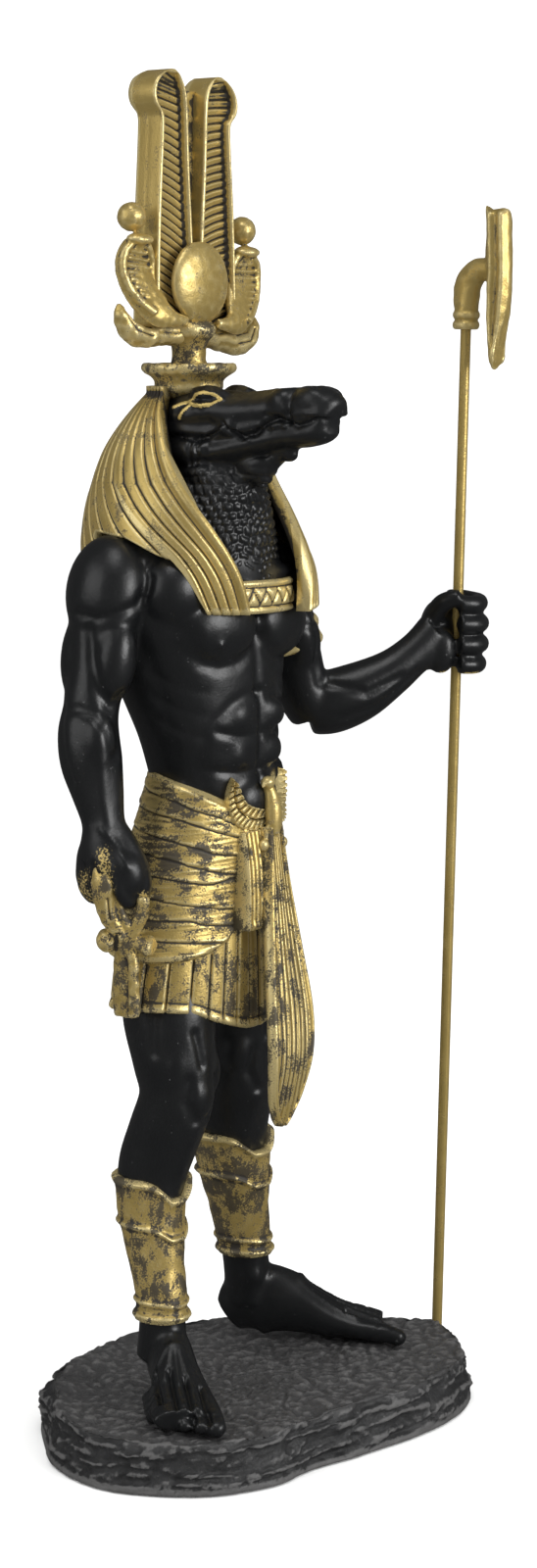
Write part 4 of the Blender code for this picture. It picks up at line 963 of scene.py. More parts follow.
def head_cloth(bm):
    """The striped head cloth, open at the face, with two lappets on the chest."""
    columns, rows, behind = CLOTH_BANDS * 20, 112, 14
    outer, inner = [], []
    for i in range(columns + 1):
        along = i / columns
        band = along * CLOTH_BANDS
        from_line = min(band % 1, 1 - band % 1)
        half = min(along, 1 - along)
        wide = ease(half, [(0, 2.2), (0.16, 2.3), (0.2, 4.6), (0.5, 5.6)])
        cut = groove(from_line * wide, 0.3) if 0.4 < band < CLOTH_BANDS - 0.4 else 0
        swell = 0.1 * (1 - (2 * abs(band % 1 - 0.5)) ** 2)
        from_edge = half * CLOTH_BANDS * 2.2
        border = 0.45 * groove(from_edge - 0.7, 0.75) - 0.25 * groove(from_edge - 1.7, 0.3)
        column = []
        for j in range(rows):
            down = j / (rows - 1)
            end = max(0, (down - 0.985) / 0.015)
            lift = swell + border - 0.55 * cut - 0.6 * end * end
            column.append(cloth_point(along, down, lift))
        outer.append(column)
        inner.append([cloth_point(along, j / (behind - 1), -CLOTH_THICK) for j in range(behind)])
    sheet(bm, outer, inner)


def shade_cloth(clay):
    """Painted shade on the head cloth: at its top next to the dish, low down and towards the back."""
    z = clay.points[:, 2]
    clay.dark += np.clip((z - 228) / 4, 0, 1) * 0.55
    low = np.clip((200 - z) / 8, 0, 1) * np.clip((clay.points[:, 1] - 2) / 8, 0, 1)
    side = np.clip((224 - z) / 14, 0, 1) * np.clip((clay.points[:, 1] - 4) / 9, 0, 1)
    clay.dark += low * 0.25 + side * 0.3


def turned(bm, middle, profile, sides=96, steps=6):
    """A turned form through pairs of radius and level, about an upright line."""
    skin(bm, [[at(middle[0] + r * wave(360 * k / sides + 90), middle[1] + r * wave(360 * k / sides), z)
               for k in range(sides)] for r, z in flowing(profile, steps)])


def crown_dish(bm):
    """The low turned dish on the head and the stem above it."""
    turned(bm, (MIDDLE, CROWN_Y - 0.8),
           [(4, 230), (5.6, 231.4), (7.3, 232.8), (7.6, 234.6), (8.6, 235.6), (9.9, 236.4), (10.4, 237.2),
            (10.3, 238), (9.8, 238.4), (9, 238.3), (8.4, 237.9), (6, 237.5), (4.5, 237.7), (3.9, 238.6),
            (3.7, 240), (3.8, 241.6), (4.4, 243.2), (5.6, 244.6), (5.8, 246), (4.8, 247.4)])


def horns(bm):
    """The wavy ram's horns, level on both sides, with upturned tips."""
    half = [(0, 244.8, 2.8, 3.2), (3, 244.9, 2.8, 3.4), (6, 244.3, 2.4, 3.3), (9, 244.3, 2.7, 3),
            (12, 243.8, 2.6, 2.9), (15, 243.4, 2.6, 2.8), (18, 243.9, 2.5, 2.6), (20.2, 245.4, 2.1, 2.2),
            (21.6, 247.2, 1.5, 1.7), (22, 248.6, 1, 1.1), (22.2, 249.6, 0.35, 0.4)]
    both = [(-x, z, up, deep) for x, z, up, deep in half[:0:-1]] + half
    limb(bm, [(MIDDLE + HORN_SHIFT + x, CROWN_Y, z - CROWN_LEAN * x, up, deep) for x, z, up, deep in both],
         steps=12, sides=48)


def wave_horns(clay):
    """The dark lines along the horns and the curls at their tips."""
    m, y = MIDDLE + HORN_SHIFT, CROWN_Y
    for side in (-1, 1):
        lean = -CROWN_LEAN * side
        for look in (FRONT, BACK):
            for low, high in ((243.4, 247.2), (245.4, 248.6)):
                clay.stroke([(m + side * 14, y, low + lean * 14), (m + side * 18.4, y, low + 0.9 + lean * 18),
                             (m + side * 20.8, y, high + lean * 20.8)], 0.3, -0.4, look)
            clay.stroke([(m + side * 3, y, 245.9), (m + side * 7, y, 244.7), (m + side * 12, y, 245.2)],
                        0.5, -0.3, look)
            clay.stroke([(m + side * 8, y, 242.6), (m + side * 13, y, 242)], 0.6, -0.25, look)
    clay.dent(0.3, 0.5)


# A plume's foot, top and lobe, and its inner and outer edge from the middle at each level
PLUME_FOOT = 246.0
PLUME_TOP = 300.0
PLUME_LOBE = 291.0
PLUME_INNER = [(PLUME_FOOT, 0.8), (264, 1.3), (280, 2.3), (294, 2.9), (297, 3.8), (299, 5.4), (PLUME_TOP, 7)]
PLUME_OUTER = [(PLUME_FOOT, 13), (268, 12.4), (288, 11.2), (290.5, 11.5), (292.6, 13.2), (295, 13.6),
               (297.6, 12.4), (299.2, 10), (PLUME_TOP, 8)]
BARB_PITCH = 1.72


def barb_relief(x, z, near, far):
    """How deep the plume's hollow is at a place: curved barbs with dark lines between."""
    across = (x - near) / (far - near)
    drop = ease(z, [(248, 4.4), (262, 3.6), (280, 2.2), (294, 1.2)])
    level = z + drop * (1 - across) ** 1.4 * 1.2 - PLUME_FOOT
    from_line = abs((level / BARB_PITCH + 0.5) % 1 - 0.5) * BARB_PITCH
    shade = 0.3 * ((level / BARB_PITCH) % 1)
    return 0.75 * groove(from_line, 0.24) - shade


def plume(side):
    """One tall plume: a rounded blade with a thin raised rim round its hollow, full of barbs."""
    front, back = CROWN_Y - 3.4, CROWN_Y + 4
    hollow = 2.1
    rim = 0.75
    levels = [PLUME_FOOT + (PLUME_TOP - 0.02 - PLUME_FOOT) * k / 300 for k in range(301)]

    def draw(bm):
        rings = []
        for z in levels:
            near, far = curve(z, PLUME_INNER), curve(z, PLUME_OUTER)
            width = far - near
            top = min(1, max(0, (PLUME_TOP - 0.7 - z) / 2.0)) ** 0.5
            lobe = max(0.0, 1 - abs((z - 295.2) / 4.6) ** 3)
            ring = []
            for k in range(57):
                t = k / 56
                x = far - width * t
                inside = min(x - near, far - x) - rim * min(1, width / 8)
                sunk = min(1, max(0, inside / 0.35))
                sunk = sunk * sunk * (3 - 2 * sunk) * top
                rounded = 0.25 * (1 - min(1, (inside + rim) / 0.3))
                ring.append((x, front + sunk * (hollow + barb_relief(x, z, near, far)) + rounded))
            for k in range(1, 12):
                t = k / 12
                ring.append((near, front + (back - 0.6 - front) * t))
            for k in range(14):
                t = k / 13
                ring.append((near + width * t, back - 0.4 + 0.5 * (1 - (2 * t - 1) ** 2) + 0.5 * lobe))
            for k in range(1, 20):
                t = k / 20
                line = 0.05 * groove((t - 0.45) * 7, 0.4) * (z < PLUME_LOBE - 1.6) * (z > 252)
                under = 0.3 * groove(z - (PLUME_LOBE - 0.8), 0.9)
                ring.append((far - line - under * 0.6 + 0.1 * wave(180 * t),
                             back - 0.4 - (back - 0.4 - front) * t))
            rings.append([at(MIDDLE + side * x, y, z - CROWN_LEAN * side * x) for x, y in ring])
        skin(bm, rings)

    return draw


def darken_plume(clay):
    """The plume's hollow darkened all over, with painted shade deepest by its outer rim and at its top, and
    painted shade low on the plume by its foot.
    """
    y, z = clay.points[:, 1], clay.points[:, 2]
    deep = np.clip((y - (CROWN_Y - 2.4)) / 0.8, 0, 1) * np.clip((CROWN_Y + 0.4 - y) / 0.5, 0, 1)
    deep *= np.clip(clay.out[:, 1] * -2.5, 0, 1)
    out = np.clip((np.abs(clay.points[:, 0] - MIDDLE) - 9.4) / 1.8, 0, 1)
    # darker all over the hollow, with painted shade deepest at the outer edge and the top
    clay.dark += deep * (0.27 + 0.5 * out + 0.55 * np.clip((z - 293) / 4, 0, 1))
    # painted shade low on the plume, next to the disc and the horns
    clay.dark += np.clip((252 - z) / 4, 0, 1) * 0.3


def disc(bm):
    """The domed sun disc in front of the plumes."""
    lump(bm, (MIDDLE, CROWN_Y - 4, 255.6), (8.7, 2.8, 8.8), rings=64, sides=96)


def web(bm):
    """The dark web that joins the two plumes behind."""
    limb(bm, [(MIDDLE, CROWN_Y + 1.6, 246, 5, 1.8), (MIDDLE, CROWN_Y + 1.6, 280, 5, 1.8),
              (MIDDLE, CROWN_Y + 1.6, 296.4, 5, 1.8)], steps=30, sides=40)


def crack_web(clay):
    """Uneven metal between the plumes."""
    clay.dent(0.35, 0.6)
    clay.dark += 0.8


def cobra(side):
    """A rearing cobra beside the plumes: hood, ladder of scales, flat head and ball."""
    def place(x, y, z):
        return MIDDLE + side * x, CROWN_Y + y, z - CROWN_LEAN * side * x

    def draw(bm):
        body = [(5, -4.6, 247.2, 1, 0.9), (9, -4.4, 247.3, 1.8, 1.3), (12.4, -3.6, 248.4, 3.4, 1.7),
                (14.8, -2.2, 251, 4.5, 1.9), (16.6, -1, 254.4, 5.1, 1.9), (17.4, -0.2, 258, 5.2, 1.8),
                (17.5, -0.4, 261.2, 4.2, 1.8), (17.5, -1.2, 263.2, 2.6, 1.8)]
        limb(bm, [place(*row[:3]) + row[3:] for row in body], facing=(0, -1, 0.05))
        for inner in (-1, 1):
            rim = [(17.4 - inner * 2.4, -2.4, 262.6, 0.8, 0.8), (17.5 - inner * 4, -1.9, 260.6, 0.9, 0.9),
                   (17.3 - inner * 4.6, -1.6, 257.4, 0.9, 0.9), (16.5 - inner * 4.4, -2.2, 253.8, 0.9, 0.9),
                   (14.7 - inner * 3.7, -3.3, 250.6, 0.9, 0.9), (12.6 - inner * 2.6, -4.7, 248.2, 0.9, 0.9)]
            limb(bm, [place(*row[:3]) + row[3:] for row in rim])
        for k in range(8):
            z = 250.2 + 1.5 * k
            half = curve(z, [(250, 2.6), (257, 3.6), (262, 2.2)])
            middle = curve(z, [(250, 14.2), (254, 16.4), (258, 17.4), (262, 17.5)])
            y = curve(z, [(250, -4.1), (253, -3), (257, -2), (262, -2.2)])
            limb(bm, [place(middle - half, y, z) + (0.36, 0.36),
                      place(middle + half, y, z + 0.3) + (0.36, 0.36)], steps=2, sides=12, facing=(0, 0, 1))
        lump(bm, place(17.5, -2.6, 263.6), (3.4, 2.4, 1.2), (10, 0, 0))
        lump(bm, place(18, -0.6, 268.2), (3.1, 3.1, 3.1), rings=32, sides=48)

    return draw


def make_cast(name, draw, finish, work=None, soft=3, slot="painted_resin", node="figure"):
    """A small casting of overlapping forms, as one skin."""
    piece = draft(name, draw)
    one_skin(piece, SMALL_GRAIN)
    clay = Clay(piece)
    clay.soften(soft)
    if work:
        work(clay)
    clay.finish(6, 0.15)
    thin(piece)
    wear(piece, finish, slot, node)


# The kilt: level, middle, half width, half depth and turn
KILT = [(90, -6.9, 9.4, 28, 15.2, 2), (95, -6.8, 9.4, 27.6, 15.2, 2), (105, -6.6, 9.6, 26.2, 15, 3),
        (116, -6.4, 9.8, 24, 14.6, 4), (130, -6.2, 9.4, 21.4, 14, 6), (140, -6, 8, 18.6, 13, 8),
        (151, -5.6, 6.6, 16.4, 11.8, 9)]


def kilt_radii(z):
    """The kilt's middle, half sizes and turn at a level."""
    for low, high in zip(KILT, KILT[1:]):
        if z <= high[0]:
            t = max(0.0, (z - low[0]) / (high[0] - low[0]))
            return [p + (q - p) * t for p, q in zip(low[1:], high[1:])]
    return list(KILT[-1][1:])


def kilt_point(a, z, proud):
    """A point of the kilt at an angle from the front, towards the figure's right."""
    x, y, wide, deep, turn = kilt_radii(z)
    u, v = -(wide + proud) * wave(a), -(deep + proud) * wave(a + 90)
    return at(x + u * wave(turn + 90) - v * wave(turn), y + u * wave(turn) + v * wave(turn + 90), z)


def from_front(a):
    """An angle's share of the half turn, alike on both sides."""
    return min(a, 360 - a)


# Where the skirt's pleats are cut, in degrees from the front, and its hem
PLEATS = [4, 12.7, 21.5, 30.9, 42.6, 58.7, 77, 96, 114, 131, 147, 163, 180]
SKIRT_HEM = [(0, 93.2), (5, 93.2), (26, 96), (40, 98.2), (72, 99.2), (95, 98.8), (180, 97.5)]


def kilt_skirt(bm):
    """The pleated skirt under the wrap, closed below as it is cast."""
    rings = []
    for j in range(81):
        down = 1 - j / 80
        ring = []
        for k in range(720):
            a = from_front(k / 2)
            hem = curve(a, SKIRT_HEM)
            z = 128 - (128 - hem) * down
            deep = 0.0
            for low, high in zip([-4] + PLEATS, PLEATS):
                if low <= a <= high:
                    t = (a - low) / (high - low)
                    reach = 0.44 * min(a - low, high - a)
                    deep = -0.75 * groove(reach, 0.3) + 0.45 * (1 - t) + 0.25 * (1 - (2 * t - 1) ** 2)
            border = 0.3 * groove(z - hem - 0.8, 0.9) - 0.25 * groove(z - hem - 2.3, 0.25)
            edge = -0.5 * groove(z - hem, 0.3)
            ring.append(kilt_point(k / 2, z, -0.7 + deep + border + edge))
        rings.append(ring)
    bottom = [kilt_point(k / 2, curve(from_front(k / 2), SKIRT_HEM) + 2.5, -3.5) for k in range(720)]
    skin(bm, [bottom] + rings)


# The wrap's edges and its folds: levels by degrees from the front
WRAP_TOP = [(0, 139.5), (28, 142.3), (38.5, 143.8), (55.6, 145.9), (73, 147.6), (97, 149), (115, 150),
            (180, 151.5)]
WRAP_LOW = [(0, 117.6), (13.8, 117.1), (19.4, 115), (28.5, 112.3), (41.6, 110.7), (54.8, 110), (120, 110),
            (180, 111)]
WRAP_FOLDS = [
    [(0, 137.6), (28, 139.4), (43, 141.3), (61, 142.8), (82, 144.8), (120, 146.4), (180, 147.6)],
    [(0, 134.6), (16, 135.8), (40, 137.9), (59, 139.7), (76, 141), (120, 142.4), (180, 143)],
    [(0, 131.4), (16, 132.1), (39, 133.2), (54, 134.7), (77, 136.4), (120, 138), (180, 138.4)],
    [(0, 128.2), (19, 128.2), (33, 129), (50, 130.5), (74, 132.4), (120, 133.8), (180, 134)],
    [(0, 125.4), (20, 127.4), (36, 126.6), (49, 127), (73, 128.3), (120, 129.4), (180, 129.6)],
    [(0, 120.6), (15, 120.7), (30, 121.1), (47, 122.1), (79, 123.8), (120, 125), (180, 125.2)],
    [(0, 116.8), (15, 116.9), (39, 117.9), (49, 118.9), (78, 119.3), (120, 120.4), (180, 120.6)],
    [(0, 112.4), (31, 113.8), (47, 114.2), (75, 114.9), (120, 115.6), (180, 116)],
]


def wrap_relief(a, z, seed):
    """How proud the wrap is at an angle and level: folds that hang, each over a dark line."""
    lines = [curve(a, WRAP_TOP)] + [curve(a, fold) for fold in WRAP_FOLDS] + [curve(a, WRAP_LOW) - 0.4]
    proud = 1.0
    for k, (high, low) in enumerate(zip(lines, lines[1:])):
        if low <= z <= high:
            t = (high - z) / max(high - low, 0.2)
            strength = 0.55 + 0.45 * noise.noise(Vector((seed * 0.05, k * 3.7, 0)))
            proud += 0.6 * strength * (t ** 1.6) - 0.15
            proud -= 0.75 * strength * groove(z - low, 0.26) * (k < len(lines) - 2)
            proud -= 0.35 * strength * groove(high - z, 0.3) * (k > 0)
            fine = noise.noise(Vector((seed * 0.03, z * 1.6 + a * 0.02, 5)))
            proud += 0.14 * fine
    return proud


def kilt_wrap(bm):
    """The upper cloth drawn round the hips in hanging folds, open at the front."""
    rings = []
    for j in range(151):
        down = j / 150
        ring = []
        for k in range(600):
            a = from_front(k * 0.6)
            top, low = curve(a, WRAP_TOP), curve(a, WRAP_LOW)
            z = top + (low - top) * down
            fold = wrap_relief(a, z, k * 0.6)
            shut = ease(a, [(12.4, 0), (14.2, 1)])
            edge = 0.9 * groove(low - z, 0.45) + 0.5 * groove(top - z, 0.35)
            border = 0.3 * groove(z - low - 1.3, 0.8) + 0.35 * groove((a - 15.5) * 0.4, 0.8)
            comb = 0.12 * wave(z * 300 + a * 160) * ease(a, [(80, 0), (92, 1), (112, 1), (122, 0)])
            ring.append(kilt_point(k * 0.6, z, (fold + border + comb) * shut + 0.3 - edge))
        rings.append(ring)
    skin(bm, rings[::-1])


def apron_rows():
    """The apron's middle, half width and half thickness down its length."""
    return flowing([(-3.8, -7.4, 138, 2.6, 2.2), (-4.2, -9.4, 126, 3.8, 1.9), (-4.8, -12, 112, 5.6, 1.8),
                    (-5.3, -14.4, 98, 7.2, 1.8), (-6.2, -15.4, 88, 7, 1.8), (-7.1, -14.8, 80, 5.4, 1.6),
                    (-7.7, -14.2, 75, 3.2, 1.3), (-7.9, -14, 72.6, 1.4, 0.9)], 24)


APRON_LINES = (-0.62, -0.42, -0.2, 0.0, 0.22, 0.44, 0.64)


def apron(bm):
    """The long stiff apron in front, pleated like a fan inside a smooth border."""
    rings = []
    for x, y, z, wide, deep in apron_rows():
        spread = 7.2 if z < 96 else wide
        front, back = [], []
        for k in range(81):
            s = 1 - 2 * k / 80
            place = s * wide
            body = (1 - abs(s) ** 4) ** 0.5
            cut = sum(groove(place - line * spread, 0.26) * (0.6 + 0.4 * ((n * 7) % 3) / 2)
                      for n, line in enumerate(APRON_LINES))
            fine = 0.16 * noise.noise(Vector((place / spread * 22, 3, z * 0.05)))
            inside = ease(wide * (1 - abs(s)), [(0.9, 0), (1.7, 1)])
            rise = 0.45 * (1 - inside) * ease(wide * (1 - abs(s)), [(0.1, 0), (0.5, 1)])
            front.append(at(x + place, y - deep * body - rise + (0.55 * min(cut, 1) + fine) * inside, z))
        for k in range(21):
            s = -1 + 2 * k / 20
            back.append(at(x + s * wide, y + deep * (1 - abs(s) ** 4) ** 0.5, z))
        rings.append(front + back[1:-1])
    skin(bm, rings)


def tab(bm):
    """The short pleated tab beside the apron, hanging from the buckle."""
    rings = []
    for x, y, z, half in flowing([(-8.0, -6.4, 137.4, 4.0), (-8.6, -8.2, 130, 4.3), (-9, -8.9, 122, 4.6),
                                  (-9.2, -8.9, 117.6, 4.8), (-9.2, -8.7, 116.2, 4.7)], 18):
        front, back = [], []
        for k in range(97):
            s = 1 - 2 * k / 96
            place = s * half
            pleat = abs((place / 1.55 + 0.3) % 1 - 0.5) * 2
            edge = (1 - abs(s) ** 10) ** 0.5
            border = groove(z - 117.2, 0.8) * 0.35
            line = 0.55 * groove((1 - pleat) * 0.78, 0.16)
            front.append(at(x + place, y + 0.13 * place - 0.5 * edge - 0.5 * (1 - pleat) ** 0.6 + line - border,
                            z))
        for k in range(17):
            s = -1 + 2 * k / 16
            back.append(at(x + s * half, y + 4, z))
        rings.append(front + back)
    skin(bm, rings)


# The falcon's wing on the belly: degrees from its body and level, along its outer and inner edge
WING_OUTER = [(38.9, 149.4), (41.6, 147), (41.8, 144.2), (38.8, 141.4), (33.5, 139.3), (26, 137.9),
              (16.4, 137.4), (7, 138)]
WING_INNER = [(37.4, 149), (34.4, 147.6), (31, 145.6), (26.8, 144), (21.4, 143), (15.4, 142.4), (9.6, 142),
              (4, 142)]
FALCON_TURN = -6


def wing(side):
    """One wing of the falcon buckle, on the figure's right for 1 and its left for -1."""
    def draw(bm):
        outer_edge, inner_edge = flowing(WING_OUTER, 24), flowing(WING_INNER, 24)
        count = len(outer_edge)
        outer, inner = [], []
        for i, (far, near) in enumerate(zip(outer_edge, inner_edge)):
            along = i / (count - 1)
            column, behind = [], []
            for j in range(45):
                u = j / 44
                a = near[0] + (far[0] - near[0]) * u
                z = near[1] + (far[1] - near[1]) * u
                wide = math.hypot((far[0] - near[0]) * 0.3, far[1] - near[1])
                second = u > 0.5
                feather = along * (14 if second else 10)
                pitch = 1.15 if second else 1.1
                line = groove(abs(feather % 1 - 0.5) * pitch, 0.17)
                rim = min(u, 1 - u) * wide
                step = 0.55 if not second else 0.25
                seam = groove((u - 0.5) * wide, 0.22)
                proud = 1.6 + step - 0.95 * line - 0.8 * seam + 0.35 * groove(rim - 0.25, 0.3)
                proud *= min(1, rim / 0.25) ** 0.5 if rim < 0.25 else 1
                ends = min(along, 1 - along) * 14
                proud *= min(1, ends + 0.2)
                column.append(kilt_point(FALCON_TURN + side * a, z, proud + 0.2))
                behind.append(kilt_point(FALCON_TURN + side * a, z, -1.5))
            outer.append(column)
            inner.append(behind)
        sheet(bm, outer, inner)

    return draw


def falcon(bm):
    """The falcon's body, its head turned to the figure's right, with its legs and fanned tail."""
    x, y = -3.9, -7.6
    limb(bm, [(x - 0.5, y + 0.4, 147.4, 1.1, 1.1), (x - 0.1, y - 0.4, 145.2, 1.5, 1.4),
              (x + 0.2, y - 0.9, 142, 2, 1.8), (x + 0.1, y - 1.1, 139, 1.9, 1.7),
              (x - 0.1, y - 1.2, 136.4, 1.5, 1.3)])
    limb(bm, [(x - 0.2, y - 1.0, 137, 1.2, 0.9), (x - 0.4, y - 1.1, 134, 2, 0.9),
              (x - 0.5, y - 1.2, 131.6, 2.9, 0.8)])
    for k in range(5):
        spread = (k - 2) * 1.1
        limb(bm, [(x - 0.2, y - 1.4, 137, 0.4, 0.5), (x - 0.5 + spread, y - 1.8, 131.3, 0.55, 0.6)], sides=12)
    lump(bm, (x - 0.9, y - 0.3, 147.8), (1.7, 1.5, 1.4))
    limb(bm, [(x - 1.6, y - 0.4, 147.9, 0.8, 0.8), (x - 2.6, y - 0.5, 147.5, 0.55, 0.5),
              (x - 3, y - 0.6, 146.7, 0.25, 0.25)], sides=12, facing=(0, 0, 1))
    lump(bm, (x - 1.4, y - 1.5, 148), (0.4, 0.3, 0.4))
    for side in (-1, 1):
        limb(bm, [(x + side * 1.2, y - 1, 138, 1, 0.9), (x + side * 2.4, y - 1, 135.8, 0.7, 0.7),
                  (x + side * 3, y - 1, 134.6, 0.6, 0.6)], sides=14)
        lump(bm, (x + side * 3.1, y - 1, 134.2), (1.35, 1.2, 1.35))


def looped_cross(bm):
    """The looped cross that hangs from the right fist and lies against the kilt."""
    knot = (-38.4, 3.4, 116)
    limb(bm, [(-41.6, 7, 133.4, 1.8, 2.2), (-42.9, 5.9, 130, 2.2, 2.8), (-43, 5.7, 126, 2, 2.7),
              (-42.2, 5, 121.6, 1.7, 2.2), (-40.4, 3.6, 118, 1.5, 1.8), knot + (1.9, 1.9)])
    limb(bm, [(-42.2, 4.6, 129, 1.3, 1.3), (-40.9, 3.4, 124, 1.2, 1.2), (-39.7, 2.4, 120, 1.2, 1.2),
              knot + (1.7, 1.7)])
    limb(bm, [(-37.2, -0.4, 126, 1.4, 1.4), (-37.4, -0.1, 122.4, 1.6, 1.5), (-38, 1.4, 118.6, 1.6, 1.5),
              knot + (1.7, 1.8)])
    limb(bm, [knot + (2.2, 2.3), (-37, 4.8, 112, 2.4, 2.8), (-36.8, 5.2, 106, 2.4, 3),
              (-36.4, 5.2, 101, 2.5, 3.4), (-36.2, 5.2, 99.4, 2.2, 3.1)])
    limb(bm, [knot + (1.4, 1.4), (-38.3, 1.6, 112, 1.1, 1.2), (-38.2, 1.6, 106, 1.1, 1.2),
              (-38.1, 1.6, 99.6, 1.1, 1.3)])
    limb(bm, [(-41, 6.6, 116.2, 1.6, 1.6), knot + (2, 2), (-36.6, 0.9, 115.6, 2, 2.4),
              (-35.4, -0.6, 114.8, 2, 3), (-35, -1.4, 114.6, 1.5, 2.2)], facing=(1, 0, 0))
    lump(bm, (-40.8, 6.6, 116.2), (2.7, 2.7, 2.6))


def work_cross(clay):
    """The marks on the cross: uneven edges and the ring on its ball."""
    clay.stroke([(-41.6, 2.6, 118), (-41.2, 3.9, 117.8), (-41.4, 3.6, 116.2), (-41.4, 3.9, 114.8),
                 (-41.8, 5, 114.2)], 0.45, -0.7, ASIDE)
    clay.dab((-42, 5, 116.6), 0.5, -0.5, ASIDE)
    clay.stroke([(-41.2, 5.9, 125.4), (-41, 5.6, 121)], 0.3, -0.5, ASIDE)
    clay.dent(0.3, 0.5)


def greave(leg, flare):
    """A greave round a leg's own rows, with rolled rims and a dip in its top edge at the front."""
    def draw(bm):
        top, foot_level = leg[0][0], leg[-1][0]
        count = 110
        outer, inner = [], []
        sides = 150
        for k in range(sides):
            a = 360 * k / sides
            ahead = max(0.0, wave(a + 90))
            column, behind = [], []
            for j in range(count):
                down = j / (count - 1)
                start = top - 4.2 * min(1, 1.25 * ahead ** 5)
                z = start + (foot_level - start) * down
                spot = min(top, max(foot_level, z))
                for high, low in zip(leg, leg[1:]):
                    if spot >= low[0] - 1e-6:
                        t = (high[0] - spot) / (high[0] - low[0])
                        x, y, wide, deep = [p + (q - p) * t for p, q in zip(high[1:], low[1:])]
                        break
                proud = 0.9 + sum(height * groove((down - place) * (top - foot_level), half)
                                  for place, height, half in flare)
                proud -= 0.7 * groove(down * 30, 0.5)
                column.append(at(x - (wide + proud) * wave(a), y - (deep + proud) * wave(a + 90), z))
                if j % 8 == 0:
                    behind.append(at(x - (wide - 1.4) * wave(a), y - (deep - 1.4) * wave(a + 90), z))
            outer.append(column)
            inner.append(behind)
        sheet(bm, outer, inner, hooped=True)

    return draw


# Each greave's level, middle, half width and half depth, from its top down
RIGHT_GREAVE = [(61, -23.5, 9.8, 7.2, 7.8), (53, -24.5, 9.4, 6.2, 7), (44, -25.3, 7.4, 5.2, 5.9),
                (35, -26, 5.1, 4.5, 5), (29.5, -26.2, 4.7, 4.7, 5.2)]
LEFT_GREAVE = [(63, 13, 18.2, 8.2, 8.8), (53, 14.5, 18.8, 7.1, 7.8), (44, 16.4, 18.8, 5.8, 6.5),
               (37, 17.7, 18.7, 5.2, 5.7), (32, 18.6, 18.6, 5.1, 5.5)]
# A greave's rings: how far down, how proud and how broad
GREAVE_RINGS = [(0.02, 0.9, 1.1), (0.33, 0.8, 0.7), (0.86, 0.55, 0.6), (0.96, 0.75, 0.7), (0.6, -0.12, 3)]


def scuff(depth, size):
    """Small uneven dents, as cast metal has."""
    def work(clay):
        clay.dent(depth, size)

    return work


def collar(bm):
    """The flat band across the throat, between the lappets."""
    rows = []
    for k in range(9):
        a = -26 + 6.5 * k
        rows.append((-5.8 + 21 * wave(a), 11.4 - 20.4 * wave(a + 90), 188.6, 1.3, 3.6))
    limb(bm, rows, steps=8, sides=40, facing=(0, 0, 1))


def line_collar(clay):
    """Raised borders along the band and a zigzag of triangles between them."""
    for z in (185.6, 191.6):
        clay.stroke([(-22, 0, z), (10, 0, z)], 0.5, 0.35)
    clay.stroke([(-22, 0, 186.5), (10, 0, 186.5)], 0.3, -0.5)
    clay.stroke([(-22, 0, 190.7), (10, 0, 190.7)], 0.3, -0.5)
    clay.stroke([(-20.8 + 1.9 * k, 0, 187 + 3.2 * (k % 2)) for k in range(17)], 0.32, -0.6)
    clay.feel()


def armlet(bm):
    """The band round the left upper arm."""
    limb(bm, [(24.1, 12.8, 179.2, 7.4, 8.4), (24.4, 12.7, 178.4, 8.2, 9.2), (24.7, 12.5, 177, 7.8, 8.8),
              (25.1, 12.3, 175.6, 7.8, 8.8), (25.5, 12.1, 174.2, 8.1, 9.1), (25.7, 12, 173.4, 7.3, 8.3)],
         steps=6, sides=72)


# The staff's head: each place as how far ahead of the rod and above its top
NECK_SPINE = [(0, -0.6, 2.7, 2.8), (0, 2.2, 2.6, 3.2), (0.6, 5.4, 2.5, 3.3), (3, 8, 2.3, 2.9),
              (6, 8.4, 2.1, 2.6), (9.4, 8.2, 2, 2.6)]
BLADE_EDGE = [(5.4, 22.8), (7, 21.7), (11.4, 21.6), (11.9, 15.5), (12.2, 9), (12, 2.5), (11.2, -1.8),
              (9.9, -6.2), (8.2, -14.1), (6.6, -10.6), (6.5, -4), (6.2, 1.5), (5.5, 10.9), (5.8, 15.6)]


def rod_top():
    """The rod's upper end and its direction, from its foot through the grip."""
    foot_point = at(*ROD_FOOT)
    up = (at(*GRIP) - foot_point).normalized()
    return foot_point + up * ((ROD_TOP_Z - GROUND) * MM / up.z), up


